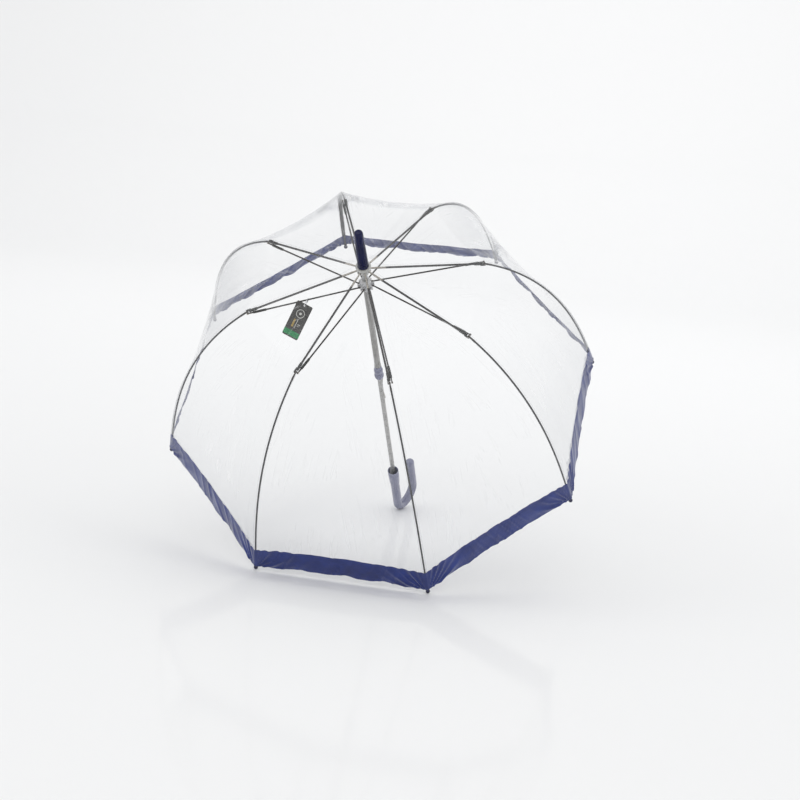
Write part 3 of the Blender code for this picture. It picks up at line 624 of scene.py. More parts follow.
area("key_light", (-2.4, -2.0, 3.0), (0, 0, 0.3), 2.6, 16)
area("fill_light", (2.8, -1.2, 2.2), (0, 0, 0.3), 2.2, 7)
area("top_light", (0.2, 0.6, 3.4), (0, 0, 0.2), 3.0, 10)
area("wall_light", (0.0, 2.2, 4.2), (0, 7.0, 1.6), 4.0, 50, 1.5)

# ---- ribs -----------------------------------------------------------------------------------------------------------------------
A, B = Vector((ca, 0, sa)), Vector((-sa, 0, ca))


def on_arm(d, up=0.0, side=0.0):
    return A * d + B * up + Y * side


def arm_mesh():
    ds = [0.0016, 0.004, 0.007, 0.010, 0.013, 0.016, 0.020, 0.024, 0.0285, 0.0288, 0.030, 0.05, 0.08, 0.11, 0.14, 0.17, ARM_LENGTH - 0.0060, ARM_LENGTH - 0.0046, ARM_LENGTH - 0.0042]
    rad, sq = [], []
    for d in ds:
        f = max(0.0, min(1.0, (d - 0.004) / 0.012))
        f = f * f * (3 - 2 * f)
        rad.append(ARM_D / 2 * (1.0 if d < ARM_LENGTH - 0.005 else 0.8))
        sq.append((0.66 + 0.34 * f, 1.14 - 0.14 * f))
    body = tube([on_arm(d) for d in ds], rad, 20, side=Y, mat=[0 if d < 0.0286 else 1 for d in ds[:-1]], squash=sq)
    parts = [(body, None), (eye((0, 0, 0), 0.0022, 0.00085, 0.0023), 0)]
    for d in (0.0288, 0.120):                            # rolled beads where the tube is crimped on its liner
        parts.append((tube([on_arm(d + q) for q in (-0.0006, -0.0004, 0.0, 0.0004, 0.0006)], [0.00175, 0.00195, 0.00205, 0.00195, 0.00175], 20, side=Y), 1))
    return joined(parts)


def sleeve_rings(d0, d1, ro, ri, ribs=0, along=A, n=24):
    """A bored plastic sleeve with rounded ends and raised ribs."""
    prof = [(d0 + 0.0004, ri), (d0, ri + 0.0001), (d0, ro - 0.0004), (d0 + 0.0003, ro - 0.0001), (d0 + 0.0007, ro)]
    for i in range(ribs):
        c = d0 + (d1 - d0) * (i + 1) / (ribs + 1)
        prof += [(c - 0.0006, ro), (c - 0.0003, ro + 0.00022), (c + 0.0003, ro + 0.00022), (c + 0.0006, ro)]
    prof += [(d1 - 0.0007, ro), (d1 - 0.0003, ro - 0.0001), (d1, ro - 0.0004), (d1, ri + 0.0001), (d1 - 0.0004, ri)]
    up = along.cross(Y).normalized()
    bm = bmesh.new()
    skin(bm, [circle(along * d, Y, up, r, n) for d, r in prof], loop=True)
    return bm


def connector_mesh():
    parts = [(sleeve_rings(ARM_LENGTH - 0.0190, ARM_LENGTH - 0.0036, 0.0026, ARM_D / 2 + 0.0002, ribs=3), 0)]
    outline = []
    for i in range(13):
        a = math.radians(-90 + 180 * i / 12)
        outline.append((0.0024 * math.cos(a), 0.0024 * math.sin(a)))
    outline += [(-0.0075, 0.0021), (-0.0078, 0.0018), (-0.0078, -0.0018), (-0.0075, -0.0021)]
    cheek = bmesh.new()
    centre = Vector((-0.003, 0, 0))
    rows = []
    for y, inset in ((-0.0018, 0.00025), (-0.0020, 0.0), (-0.0030, 0.0), (-0.0032, 0.00025)):
        ring = []
        for d, h in outline:
            v = Vector((d, 0, h)) - centre
            v = centre + v * (1 - inset / max(v.length, 1e-6))
            ring.append(A * (ARM_LENGTH + v.x) + B * v.z + Y * y)
        rows.append(ring)
    skin(cheek, rows)
    parts.append((cheek, 0))
    parts.append((pin(tuple(A * ARM_LENGTH), 0.0008, -0.0032, 0.0018, head=0.0004), 1))
    return joined(parts)


def rod_mesh():
    ss = [0.0016, 0.003, 0.006, 0.009, 0.012, 0.0145, 0.0148, 0.016] + [0.02 + (ROD_ARC - 0.0215) * i / 54 for i in range(55)]
    pts, rad, sq = [], [], []
    for s in ss:
        r, z = rod_at(s)
        pts.append(Vector((r - JOINT_R, 0, z - JOINT_Z)))
        f = max(0.0, min(1.0, (s - 0.003) / 0.008))
        rad.append(0.00185 if s < 0.0146 else ROD_D / 2)
        sq.append((0.72 + 0.28 * f, 1.1 - 0.1 * f))
    parts = [(tube(pts, rad, 18, side=Y, mat=[1 if s < 0.0146 else 0 for s in ss[:-1]], squash=sq), None), (eye((0, 0, 0), 0.0023, 0.0009, 0.0029), 1)]
    return joined(parts)


def tip_mesh():
    prof = [(0.0, -0.0011), (ROD_D / 2 + 0.0002, -0.0012), (ROD_D / 2 + 0.0002, -0.0128), (0.0019, -0.0130), (0.0022, -0.0130), (0.0025, -0.0127), (0.0026, -0.0122), (0.0026, -0.0105),
            (0.0030, -0.0102), (0.0031, -0.0098), (0.0030, -0.0094), (0.0026, -0.0091), (0.00265, -0.0070), (0.0028, -0.0040)]
    for i in range(0, 17):
        a = math.radians(-46 + 136 * i / 16)
        prof.append((TIP_R * math.cos(a), TIP_R * math.sin(a)))
    bm = turned(prof, 32, loop=False)
    r, z = rod_at(ROD_ARC)
    return moved(bm, Matrix.Translation((r - JOINT_R, 0, z - JOINT_Z)) @ Matrix.Rotation(math.pi / 2 + rod_slope(ROD_ARC), 4, "Y"))


reach = Vector((JOINT_R - RUNNER_RING_R, 0, JOINT_Z - RUNNER_Z))
STRETCHER_LENGTH = reach.length
sdir = reach.normalized()


def stretcher_mesh():
    ds = [0.0014, 0.004, 0.007, 0.010, 0.014, 0.03, 0.07, 0.11, 0.15, STRETCHER_LENGTH - 0.012, STRETCHER_LENGTH - 0.007, STRETCHER_LENGTH - 0.004, STRETCHER_LENGTH - 0.0012]
    sq, rad = [], []
    for d in ds:
        e = min(d, STRETCHER_LENGTH - d)
        f = max(0.0, min(1.0, (e - 0.003) / 0.008))
        sq.append((0.70 + 0.30 * f, 1.15 - 0.15 * f))
        rad.append(STRETCHER_D / 2)
    parts = [(tube([sdir * d for d in ds], rad, 18, side=Y, squash=sq), 0), (eye((0, 0, 0), 0.0021, 0.0009, 0.0020), 0),
             (pin(tuple(reach), 0.0011, -0.0012, 0.0012, head=0.0003), 2), (eye(tuple(reach), 0.0018, 0.0010, 0.0022), 0),
             (sleeve_rings(STRETCHER_LENGTH - 0.0340, STRETCHER_LENGTH - 0.0100, 0.0022, STRETCHER_D / 2 + 0.0001, ribs=4, along=sdir), 1)]
    return joined(parts)


for k in range(1, RIBS + 1):
    piece("arm_tube_%d" % k, arm_mesh(), ["bare", "arm"], rib_matrix(k, RING_R), "arm_%d" % k, replaces=["rib_arm_%d" % k])
    piece("arm_connector_%d" % k, connector_mesh(), ["joint", "bare"], rib_matrix(k, RING_R), "arm_%d" % k, replaces=["rib_connector_%d" % k])
    piece("fibre_rod_%d" % k, rod_mesh(), ["fibre", "arm"], rib_matrix(k, JOINT_R, 0, JOINT_Z), "rod_%d" % k, replaces=["outer_rod_%d" % k])
    piece("rod_tip_%d" % k, tip_mesh(), ["tip"], rib_matrix(k, JOINT_R, 0, JOINT_Z), "rod_%d" % k, replaces=["tip_cap_%d" % k])
    piece("strut_%d" % k, stretcher_mesh(), ["strut", "joint", "bare"], rib_matrix(k, RUNNER_RING_R, STRETCHER_SIDE, RUNNER_Z), "strut_%d" % k,
          replaces=["stretcher_%d" % k])

# ---- crown and ferrule ----------------------------------------------------------------------------------------------------------
hub = turned(round_profile([(BORE, -0.0080), (0.0086, -0.0080), (0.0086, -0.0040), (0.0079, -0.0036), (0.0079, 0.0036), (0.0086, 0.0040), (0.0086, 0.0044), (0.0135, 0.0044),
                            (0.0135, 0.0075), (BORE, 0.0075)], 0.0004), 72)
parts = [(hub, 0)]
for k in range(RIBS):
    lug = box((0.0074, -0.0013, -0.0034), (0.0130, 0.0013, 0.0048), 0.00035, 3)
    parts.append((moved(lug, Matrix.Rotation(azimuth(k + 1) + math.pi / RIBS, 4, "Z")), 0))
piece("crown_hub", joined(parts), ["crown"], TO_WORLD, replaces=["crown_notch"])
ring = joined([(torus(RING_R, 0.0004, 0.0), 0), (moved(pin((0, 0, 0), 0.0006, -0.0012, 0.0012), Matrix.Translation(Matrix.Rotation(azimuth(1) + math.pi / RIBS + 0.2, 3, "Z") @ Vector((RING_R, 0, 0))) @ Matrix.Rotation(azimuth(1) + math.pi / RIBS + 0.2, 4, "Z")), 0)])
piece("crown_ring_wire", ring, ["wire"], TO_WORLD, replaces=["crown_wire"])
piece("crown_cap_washer", turned(round_profile([(SHAFT_D / 2 + 0.0007, 0.0079), (0.0138, 0.0079), (0.0138, 0.0088), (0.0100, 0.0088), (0.0096, 0.0086), (SHAFT_D / 2 + 0.0007, 0.0086)], 0.00025), 80),
      ["crown"], TO_WORLD, replaces=["crown_washer"])

fb, ft = FERRULE_BASE, FERRULE_TOP
prof = [(0.0003, 0.0740), (0.0030, 0.0740), (BORE, 0.0722), (BORE, fb + 0.0003), (BORE + 0.0003, fb), (0.0094, fb), (0.0099, fb + 0.0003), (0.0100, fb + 0.0008), (0.0100, fb + 0.0040),
        (0.0098, fb + 0.0044), (0.0096, fb + 0.0048), (0.0096, fb + 0.0054), (0.00975, fb + 0.0058)]
for i in range(1, 25):
    f = i / 24
    prof.append((0.00975 - 0.00185 * f, fb + 0.0058 + (ft - 0.0068 - fb - 0.0058) * f))
for i in range(1, 15):
    a = math.radians(90 * i / 14)
    prof.append((0.0045 + 0.0034 * math.cos(a), ft - 0.0068 + 0.0068 * math.sin(a)))
prof += [(0.0043, ft), (0.0040, ft - 0.0002), (0.0020, ft - 0.0002), (0.0001, ft - 0.0002)]
piece("ferrule_cap", joined([(turned(prof, 80, loop=False), 0)]), ["navy"], TO_WORLD, replaces=["ferrule"])

# ---- shaft ----------------------------------------------------------------------------------------------------------------------
R, IN = SHAFT_D / 2, SHAFT_D / 2 - SHAFT_WALL
stock = turned([(IN, SHAFT_BOTTOM), (R - 0.0001, SHAFT_BOTTOM), (R, SHAFT_BOTTOM + 0.0002), (R, SHAFT_TOP - 0.0002), (R - 0.0001, SHAFT_TOP), (IN, SHAFT_TOP)], 64)
cutters = [box((0.0022, -0.0016, CATCH_TOP - 0.0230), (0.0060, 0.0016, CATCH_TOP + 0.0006), 0.0004), box((0.0022, -0.0016, CATCH_LOW - 0.0006), (0.0060, 0.0016, CATCH_LOW + 0.0230), 0.0004),
           pin((0, 0, STOP_Z), 0.0013, -0.0070, 0.0070)]
piece("steel_shaft", cut(stock, cutters), ["shaft"], TO_WORLD, replaces=["shaft_tube"])
rows = [(0.0003, -0.0064), (0.0007, -0.00635), (0.0010, -0.0061), (0.0010, 0.0061), (0.0007, 0.00635), (0.0003, 0.0064)]
bm = bmesh.new()
skin(bm, [circle(Vector((0, y, STOP_Z)), X, Z, r, 24) for r, y in rows])
piece("stop_rivet", joined([(bm, 0)]), ["spring"], TO_WORLD, replaces=["stop_pin"])
for name, shoulder, s in (("upper_catch", CATCH_TOP, -1.0), ("lower_catch", CATCH_LOW, 1.0)):
    out = [(0.0016, 0.0), (0.0062, 0.0), (0.0067, 0.0003), (0.0068, 0.0008), (0.0068, 0.0020), (0.0066, 0.0030), (0.0058, 0.0090), (0.0049, 0.0155), (0.0043, 0.0205), (0.0040, 0.0215), (0.0034, 0.0222), (0.0016, 0.0225)]
    bm = bmesh.new()
    c = Vector((0.0040, 0, shoulder + s * 0.010))
    rows = []
    for y, inset in ((-0.0012, 0.96), (-0.00105, 1.0), (0.00105, 1.0), (0.0012, 0.96)):
        rows.append([Vector((c.x + (x - c.x) * inset, y, c.z + (shoulder + s * z - c.z) * (1 - (1 - inset) * 0.3))) for x, z in out])
    skin(bm, rows)
    piece(name + "_leaf", joined([(bm, 0)]), ["spring"], TO_WORLD, body=name, smooth=25.0, replaces=[name])

# ---- runner ---------------------------------------------------------------------------------------------------------------------
ring_true = math.hypot(RUNNER_RING_R, STRETCHER_SIDE)
skew = math.atan2(STRETCHER_SIDE, RUNNER_RING_R)
head = turned(round_profile([(BORE, -0.0280), (0.0080, -0.0280), (0.0095, -0.0300), (0.0095, -0.0352), (0.0090, -0.0356), (0.0090, -0.0362), (0.0095, -0.0366), (0.0095, -0.0454),
                             (0.0112, -0.0464), (0.0112, -0.0486), (BORE, -0.0486)], 0.0004), 72)
parts = [(head, 0)]
for k in range(RIBS):
    lug = box((0.0088, -0.0012, -0.0458), (0.0150, 0.0012, -0.0378), 0.0004, 3)
    parts.append((moved(lug, Matrix.Rotation(azimuth(k + 1) + math.pi / RIBS + skew, 4, "Z")), 0))
piece("runner_hub", joined(parts), ["runner"], TO_WORLD, body="runner", replaces=["runner_head"])
piece("runner_ring_wire", torus(ring_true, 0.0004, RUNNER_Z), ["wire"], TO_WORLD, body="runner", replaces=["runner_wire"])
SR = SLEEVE_D / 2
prof = round_profile([(BORE, SLEEVE_BOTTOM), (SR + 0.0002, SLEEVE_BOTTOM), (SR + 0.0002, SLEEVE_BOTTOM + 0.0060), (SR - 0.0002, SLEEVE_BOTTOM + 0.0064), (SR - 0.0002, SLEEVE_TOP - 0.0064),
                      (SR + 0.0002, SLEEVE_TOP - 0.0060), (SR + 0.0002, SLEEVE_TOP), (BORE, SLEEVE_TOP)], 0.0003)
piece("runner_tube", turned(prof, 72), ["sleeve"], TO_WORLD, body="runner", replaces=["runner_sleeve"])
GR = GRIP_D / 2
prof = [(BORE, GRIP_BOTTOM + 0.0003), (BORE + 0.0003, GRIP_BOTTOM), (0.0062, GRIP_BOTTOM), (0.0067, GRIP_BOTTOM + 0.0003), (0.0070, GRIP_BOTTOM + 0.0010)]
for i in range(21):
    a = math.radians(-75 + 150 * i / 20)
    prof.append((0.0062 + (GR - 0.0062) * math.cos(a), GRIP_BOTTOM + 0.0085 + 0.0075 * math.sin(a)))
prof += [(0.0074, GRIP_BOTTOM + 0.0162)]
for i in range(21):
    a = math.radians(-75 + 150 * i / 20)
    prof.append((0.0062 + (GR - 0.0067) * math.cos(a), GRIP_BOTTOM + 0.0235 + 0.0068 * math.sin(a)))
prof += [(0.0071, GRIP_TOP - 0.0044), (0.0068, GRIP_TOP - 0.0030), (0.0067, GRIP_TOP - 0.0004), (0.0064, GRIP_TOP), (BORE + 0.0003, GRIP_TOP), (BORE, GRIP_TOP - 0.0003)]
piece("runner_grip_knob", turned(prof, 72), ["handle"], TO_WORLD, body="runner", replaces=["runner_grip"])

# ---- crook handle ---------------------------------------------------------------------------------------------------------------
h = Vector((math.cos(math.radians(CROOK_TURN)), math.sin(math.radians(CROOK_TURN)), 0.0))
n_side = Vector((-h.y, h.x, 0.0))
down = Vector((0, 0, -1))
CR, bend = CROOK_D / 2, CROOK_WIDTH / 2
rise_h, rise_z = h.y * math.sin(LEAN), math.cos(LEAN)
low = min(bend * rise_h * (1 - math.cos(a)) - bend * rise_z * math.sin(a) for a in [math.radians(0.25 * i) for i in range(720)])
BEND_Z = -(RING_HEIGHT + low - CR) / rise_z
NS = 64


def lobed(centre, u, v, r, seam=0.00016):
    """A ring with the moulding's fine parting line on both sides."""
    ring = []
    for i in range(NS):
        t = 2 * math.pi * i / NS
        q = r + seam * max(0.0, 1 - abs(math.sin(t)) / 0.12) * (1 if r > 0.006 else 0)
        ring.append(centre + q * (math.cos(t) * u + math.sin(t) * v))
    return ring


rings = []
for z, r, seam in ((SHAFT_BOTTOM - 0.0015, BORE, 0), (MOUTH_Z - CUP_DEPTH - 0.0030, BORE, 0), (MOUTH_Z - CUP_DEPTH, 0.0075, 0), (MOUTH_Z - CUP_DEPTH + 0.0030, CUP_D / 2, 0),
                   (MOUTH_Z - 0.0010, CUP_D / 2, 0), (MOUTH_Z - 0.0003, CUP_D / 2 + 0.0002, 0), (MOUTH_Z, CUP_D / 2 + 0.0005, 0), (MOUTH_Z, MOUTH_D / 2 - 0.0006, 0),
                   (MOUTH_Z - 0.0002, MOUTH_D / 2 - 0.0002, 0), (MOUTH_Z - 0.0006, MOUTH_D / 2, 0), (MOUTH_Z - 0.0040, MOUTH_D / 2, 0), (MOUTH_Z - 0.0044, MOUTH_D / 2 - 0.0003, 0),
                   (MOUTH_Z - 0.0050, MOUTH_D / 2 - 0.0003, 0), (MOUTH_Z - 0.0054, MOUTH_D / 2, 0), (MOUTH_Z - 0.0200, MOUTH_D / 2, 1), (MOUTH_Z - 0.0300, MOUTH_D / 2 - 0.0002, 1),
                   (MOUTH_Z - 0.0390, MOUTH_D / 2 - 0.0006, 1), (MOUTH_Z - 0.0450, CR + 0.0009, 1), (MOUTH_Z - 0.0520, CR + 0.0004, 1), (MOUTH_Z - 0.0600, CR + 0.0001, 1),
                   (MOUTH_Z - 0.0700, CR, 1)):
    rings.append(lobed(Vector((0, 0, z)), n_side, h, r, 0.00016 * seam))
for i in range(1, 5):
    rings.append(lobed(Vector((0, 0, (MOUTH_Z - 0.0700) + (BEND_Z - MOUTH_Z + 0.0700) * i / 5)), n_side, h, CR))
centre = h * bend + Vector((0, 0, BEND_Z))
for i in range(0, 49):
    a = math.radians(180 * i / 48)
    out = h * (-math.cos(a)) + down * math.sin(a)
    rings.append(lobed(centre + out * bend, n_side, -out, CR))
for z in (HOOK_END_Z - 0.0700, HOOK_END_Z - 0.0500, HOOK_END_Z - 0.0300, HOOK_END_Z - 0.0150, HOOK_END_Z - 0.0100):
    if z > BEND_Z:
        rings.append(lobed(h * CROOK_WIDTH + Vector((0, 0, z)), n_side, -h, CR))
for i in range(1, 14):
    a = math.radians(90 * i / 13.2)
    rings.append(lobed(h * CROOK_WIDTH + Vector((0, 0, HOOK_END_Z - 0.0075 + 0.0075 * math.sin(a))), n_side, -h, CR * math.cos(a) ** 0.6, 0.00016 if i < 9 else 0))
bm = bmesh.new()
skin(bm, rings)
piece("crook_grip", joined([(bm, 0)]), ["handle"], TO_WORLD, replaces=["handle_crook"], smooth=50.0)

# ---- canopy: the film's line, gore surface, petals ------------------------------------------------------------------------------
guide = [(0.0056, 0.0093), (0.0100, 0.0093), (0.0145, 0.00925)]
for d in (0.030, 0.050, 0.075, 0.100, 0.125, 0.150, 0.175, 0.195):
    guide.append((RING_R + d * ca + FILM_OFF * -sa, d * sa + FILM_OFF * ca))
mid = (SLOPE + ROD_START) / 2
guide.append((JOINT_R + (FILM_OFF + 0.0003) * math.sin(mid), JOINT_Z + (FILM_OFF + 0.0003) * math.cos(mid)))
turn_at = len(guide) - 1
for i in range(1, 41):
    s = ROD_ARC * i / 40
    r, z = rod_at(s)
    guide.append((r + FILM_OFF * math.sin(rod_slope(s)), z + FILM_OFF * math.cos(rod_slope(s))))
g = np.array(guide)
line = []
for i in range(len(g) - 1):
    p0, p1, p2, p3 = g[max(i - 1, 0)], g[i], g[i + 1], g[min(i + 2, len(g) - 1)]
    for j in range(12):
        t = j / 12
        line.append(0.5 * (2 * p1 + (p2 - p0) * t + (2 * p0 - 5 * p1 + 4 * p2 - p3) * t * t + (3 * p1 - p0 - 3 * p2 + p3) * t ** 3))
    if i == turn_at - 1:
        joint_index = len(line)
line.append(g[-1])
line = np.array(line)
M = np.concatenate([[0.0], np.cumsum(np.linalg.norm(np.diff(line, axis=0), axis=1))])
M_J = float(M[joint_index])
M_END = float(M[-1])
tang = np.gradient(line, M, axis=0)
tang /= np.linalg.norm(tang, axis=1)[:, None]
OUT_R, OUT_Z = -tang[:, 1], tang[:, 0]
HEM_END = M_END - HEM_CLEAR
HEM_START = HEM_END - HEM_WIDTH


def smooth_step(x, a, b):
    t = np.clip((x - a) / (b - a), 0, 1)
    return t * t * (3 - 2 * t)


TILT = [0.0] + list(rng.uniform(-0.5, 0.5, RIBS))
WAVES = [[(rng.uniform(0, 6.28), rng.uniform(0.7, 1.3), rng.uniform(0.4, 1.0)) for _ in range(7)] for _ in range(RIBS + 1)]


def gore(gi, m, v, off=0.0, calm=False):
    """Points of gore gi (between ribs gi and gi + 1) in the leaned frame. m and v are arrays of the same shape."""
    m, v = np.asarray(m, float), np.asarray(v, float)
    bow = 4 * v * (1 - v)
    lift = SCALLOP * bow * smooth_step(m - M_J, 0.10, 0.34)
    mm = m - lift
    r, z = np.interp(mm, M, line[:, 0]), np.interp(mm, M, line[:, 1])
    nr, nz = np.interp(mm, M, OUT_R), np.interp(mm, M, OUT_Z)
    a0, a1 = azimuth(gi), azimuth(gi + 1)
    x = r * (math.cos(a0) * (1 - v) + math.cos(a1) * v)
    y = r * (math.sin(a0) * (1 - v) + math.sin(a1) * v)
    am = a0 + (a1 - a0) * v
    width = 2 * r * math.sin(math.pi / RIBS)
    drop = -0.010 * bow * smooth_step(m, 0.03, 0.24) * (1 - 0.72 * smooth_step(m, M_J + 0.12, M_END))
    # slack: long shallow folds running with the ribs near the crown, across the gore near the hem
    w = WAVES[gi % RIBS]
    fold = np.zeros_like(m)
    for q, (ph, fr, am_) in enumerate(w[:4]):
        fold += am_ * np.sin(2 * math.pi * (v * (2.0 + q * 1.4) * fr) + ph + m * 6.0)
    fold *= 0.00030 * np.sin(math.pi * v) * smooth_step(m, 0.02, 0.10)
    tipward = smooth_step(m, M_J + 0.22, M_END)
    near = np.minimum(v, 1 - v) * width
    dist = np.hypot(near, (M_END - m))
    pull = np.zeros_like(m)
    for q, (ph, fr, am_) in enumerate(w[3:6]):
        ang = np.arctan2(near, np.maximum(M_END - m, 1e-4))
        pull += am_ * np.sin(ang * (9 + 3 * q) * fr + ph)
    pull *= 0.0007 * np.exp(-((dist - 0.05) / 0.055) ** 2) * smooth_step(near, 0.004, 0.03)
    d = drop + (0 if calm else 1) * (fold + pull * tipward) + off
    return np.stack([x + d * nr * np.cos(am), y + d * nr * np.sin(am), z + d * nz], -1)


def wheel(gi):
    return (gi - 1) % RIBS + 1


def to_world(p):
    w = np.array(TO_WORLD)
    return p @ w[:3, :3].T + w[:3, 3]


def columns(half):
    """Shares across half a gore, closer together by the rib."""
    return [0.5 * (0.35 * (i / half) + 0.65 * (i / half) ** 1.6) for i in range(half + 1)]


HALF = 16
vs = columns(HALF)
V_ALL = np.array(vs + [1 - q for q in reversed(vs[:-1])])


def field(ms, off=0.0, extra=None):
    """Grids of points and unit normals for every gore, with the normals of neighbours averaged at the ribs."""
    P, N = {}, {}
    mm, vv = np.meshgrid(ms, V_ALL, indexing="ij")
    for gi in range(1, RIBS + 1):
        p = gore(gi, mm, vv, off) if extra is None else gore(gi, hem_line(gi, mm, vv), vv, off) + extra(gi, mm, vv)
        P[gi] = to_world(p)
        du, dv = np.gradient(P[gi], axis=0), np.gradient(P[gi], axis=1)
        n = np.cross(du, dv)
        n /= np.linalg.norm(n, axis=2)[:, :, None] + 1e-12
        N[gi] = -n
    centre_line = np.array(TO_WORLD @ Vector((0, 0, -0.15)))
    for gi in range(1, RIBS + 1):
        if np.sum((P[gi] - centre_line) * N[gi]) < 0:
            N[gi] = -N[gi]
    for gi in range(1, RIBS + 1):
        nx = wheel(gi + 1)
        avg = N[gi][:, -1] + N[nx][:, 0]
        avg /= np.linalg.norm(avg, axis=1)[:, None]
        N[gi][:, -1] = avg
        N[nx][:, 0] = avg
    return P, N


def petal_grid(P, N, k, rows):
    """The half gores on both sides of rib k."""
    before, after = wheel(k - 1), k
    p = np.concatenate([P[before][rows, HALF:-1], P[after][rows, :HALF + 1]], axis=1)
    n = np.concatenate([N[before][rows, HALF:-1], N[after][rows, :HALF + 1]], axis=1)
    return p, n


def grid_object(name, p, n, uv, mats, body, face_mats=None):
    rows, cols = p.shape[:2]
    verts = p.reshape(-1, 3)
    faces = [(i * cols + j, (i + 1) * cols + j, (i + 1) * cols + j + 1, i * cols + j + 1) for i in range(rows - 1) for j in range(cols - 1)]
    # wind the faces with the normals
    a, b, c = (verts[[f[q] for f in faces]] for q in (0, 1, 2))
    way = np.sum(np.cross(b - a, c - a) * n.reshape(-1, 3)[[f[0] for f in faces]])
    if way < 0:
        faces = [tuple(reversed(f)) for f in faces]
    me = bpy.data.meshes.new(name)
    me.from_pydata([tuple(map(float, q)) for q in verts], [], faces)
    layer = me.uv_layers.new(name="UVMap")
    flat_uv = uv.reshape(-1, 2)
    for loop in me.loops:
        layer.data[loop.index].uv = flat_uv[loop.vertex_index]
    for m in mats:
        me.materials.append(MAT[m])
    if face_mats is not None:
        for i, f in enumerate(me.polygons):
            f.material_index = int(face_mats[i // (cols - 1)])
    me.shade_smooth()
    me.normals_split_custom_set_from_vertices([tuple(map(float, q)) for q in n.reshape(-1, 3)])
    ob = bpy.data.objects.new(name, me)
    bpy.context.collection.objects.link(ob)
    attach(ob, body)
    return ob


def extent(p, axis):
    d = p.reshape(-1, 3) @ axis
    return float(d.max() - d.min())


def measured(p):
    """(width, length) of a petal's flat cut, along its middle row and its widest row."""
    mid_col = p.shape[1] // 2
    length = float(np.sum(np.linalg.norm(np.diff(p[:, mid_col], axis=0), axis=1)))
    width = max(float(np.sum(np.linalg.norm(np.diff(row, axis=0), axis=1))) for row in p)
    return width, length


M_CAP = float(np.interp(0.0163, line[:, 0], M))
inner_m = np.concatenate([np.linspace(M_CAP - 0.0004, 0.02, 4)[:-1], np.linspace(0.02, M_J, 27)])
outer_m = np.linspace(M_J, HEM_START + 0.0075, 44)
ms = np.concatenate([inner_m, outer_m[1:]])
P, N = field(ms)
iJ = len(inner_m) - 1
KEEP = 0.105
KEEP_OUTER, KEEP_HEM = 0.088, 0.055


def petal_uv(p, k, m_rows):
    mid_col = p.shape[1] // 2
    across = np.zeros(p.shape[:2])
    step = np.linalg.norm(np.diff(p, axis=1), axis=2)
    across[:, 1:] = np.cumsum(step, axis=1)
    across -= across[:, mid_col][:, None]
    return np.stack([across + 0.7 * k, np.repeat(np.asarray(m_rows)[:, None], p.shape[1], 1)], -1)


film_parts = []
for k in range(1, RIBS + 1):
    for part, rows, body in (("inner", slice(0, iJ + 1), "arm_%d" % k), ("outer", slice(iJ, None), "rod_%d" % k)):
        p, n = petal_grid(P, N, k, rows)
        ob = grid_object("film_%s_%d" % (part, k), p, n, petal_uv(p, k, ms[rows]), ["film"], body)
        if k == 1 and part == "inner":
            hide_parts("canopy_film")
        film_parts.append((ob, p, k, part))

# the film's middle, clamped between the washer and the ferrule: one round patch that stays on the shaft
bm = bmesh.new()
rows = []
for m_ in list(np.linspace(0.0, M_CAP, 9)):
    ring = []
    for gi in range(1, RIBS + 1):
        for q in range(12):
            ring.append(Vector(gore(gi, np.array([m_]), np.array([q / 12]), 0.00004)[0]))
    rows.append(ring)
skin(bm, rows, ends=False)
bmesh.ops.recalc_face_normals(bm, faces=bm.faces)
uvl = bm.loops.layers.uv.new("UVMap")
for f in bm.faces:
    for lp in f.loops:
        lp[uvl].uv = (lp.vert.co.x, lp.vert.co.y)
patch = piece("film_crown_patch", bm, ["film"], TO_WORLD, smooth=60.0)

# welded seam over each rib: a frosted doubling of the film between two fine ridges
for k in range(1, RIBS + 1):
    for part, m_rows, body in (("inner", inner_m[2:], "arm_%d" % k), ("outer", outer_m, "rod_%d" % k)):
        offs = [(-0.0046, 0.00010), (-0.0044, 0.00042), (-0.0039, 0.00042), (-0.0036, 0.00016), (-0.0018, 0.00018), (0.0, 0.00026), (0.0018, 0.00018), (0.0036, 0.00016), (0.0039, 0.00042), (0.0044, 0.00042),
                (0.0046, 0.00010)]
        cols_p = []
        for t, up in offs:
            r = np.interp(m_rows, M, line[:, 0])
            w = 2 * r * math.sin(math.pi / RIBS)
            t_eff = np.minimum(abs(t), 0.42 * w) / w
            gi, v = (wheel(k - 1), 1 - t_eff) if t < 0 else (k, t_eff)
            cols_p.append(to_world(gore(gi, m_rows, v, off=up + 0.00012)))
        p = np.stack(cols_p, axis=1)
        du, dv = np.gradient(p, axis=0), np.gradient(p, axis=1)
        n = np.cross(du, dv)
        n /= np.linalg.norm(n, axis=2)[:, :, None] + 1e-12
        up = np.array(rib_matrix(k).to_3x3() @ Vector((0.5, 0, 0.8)))
        if np.sum(n @ up) < 0:
            n = -n
        name = "film_seam_%s_%d" % (part, k)
        ob = grid_object(name, p, n, petal_uv(p, k, m_rows), ["seam", "weld"], body)
        cols = p.shape[1] - 1
        for i, f in enumerate(ob.data.polygons):
            f.material_index = 1 if i % cols in (0, 1, 2, 7, 8, 9) else 0
        for j, entry in enumerate(film_parts):
            if entry[2] == k and entry[3] == part:
                film_parts[j] = entry + (ob,)

# ---- hem ------------------------------------------------------------------------------------------------------------------------
FOLD = 0.0090
LIFTED = 0.00055


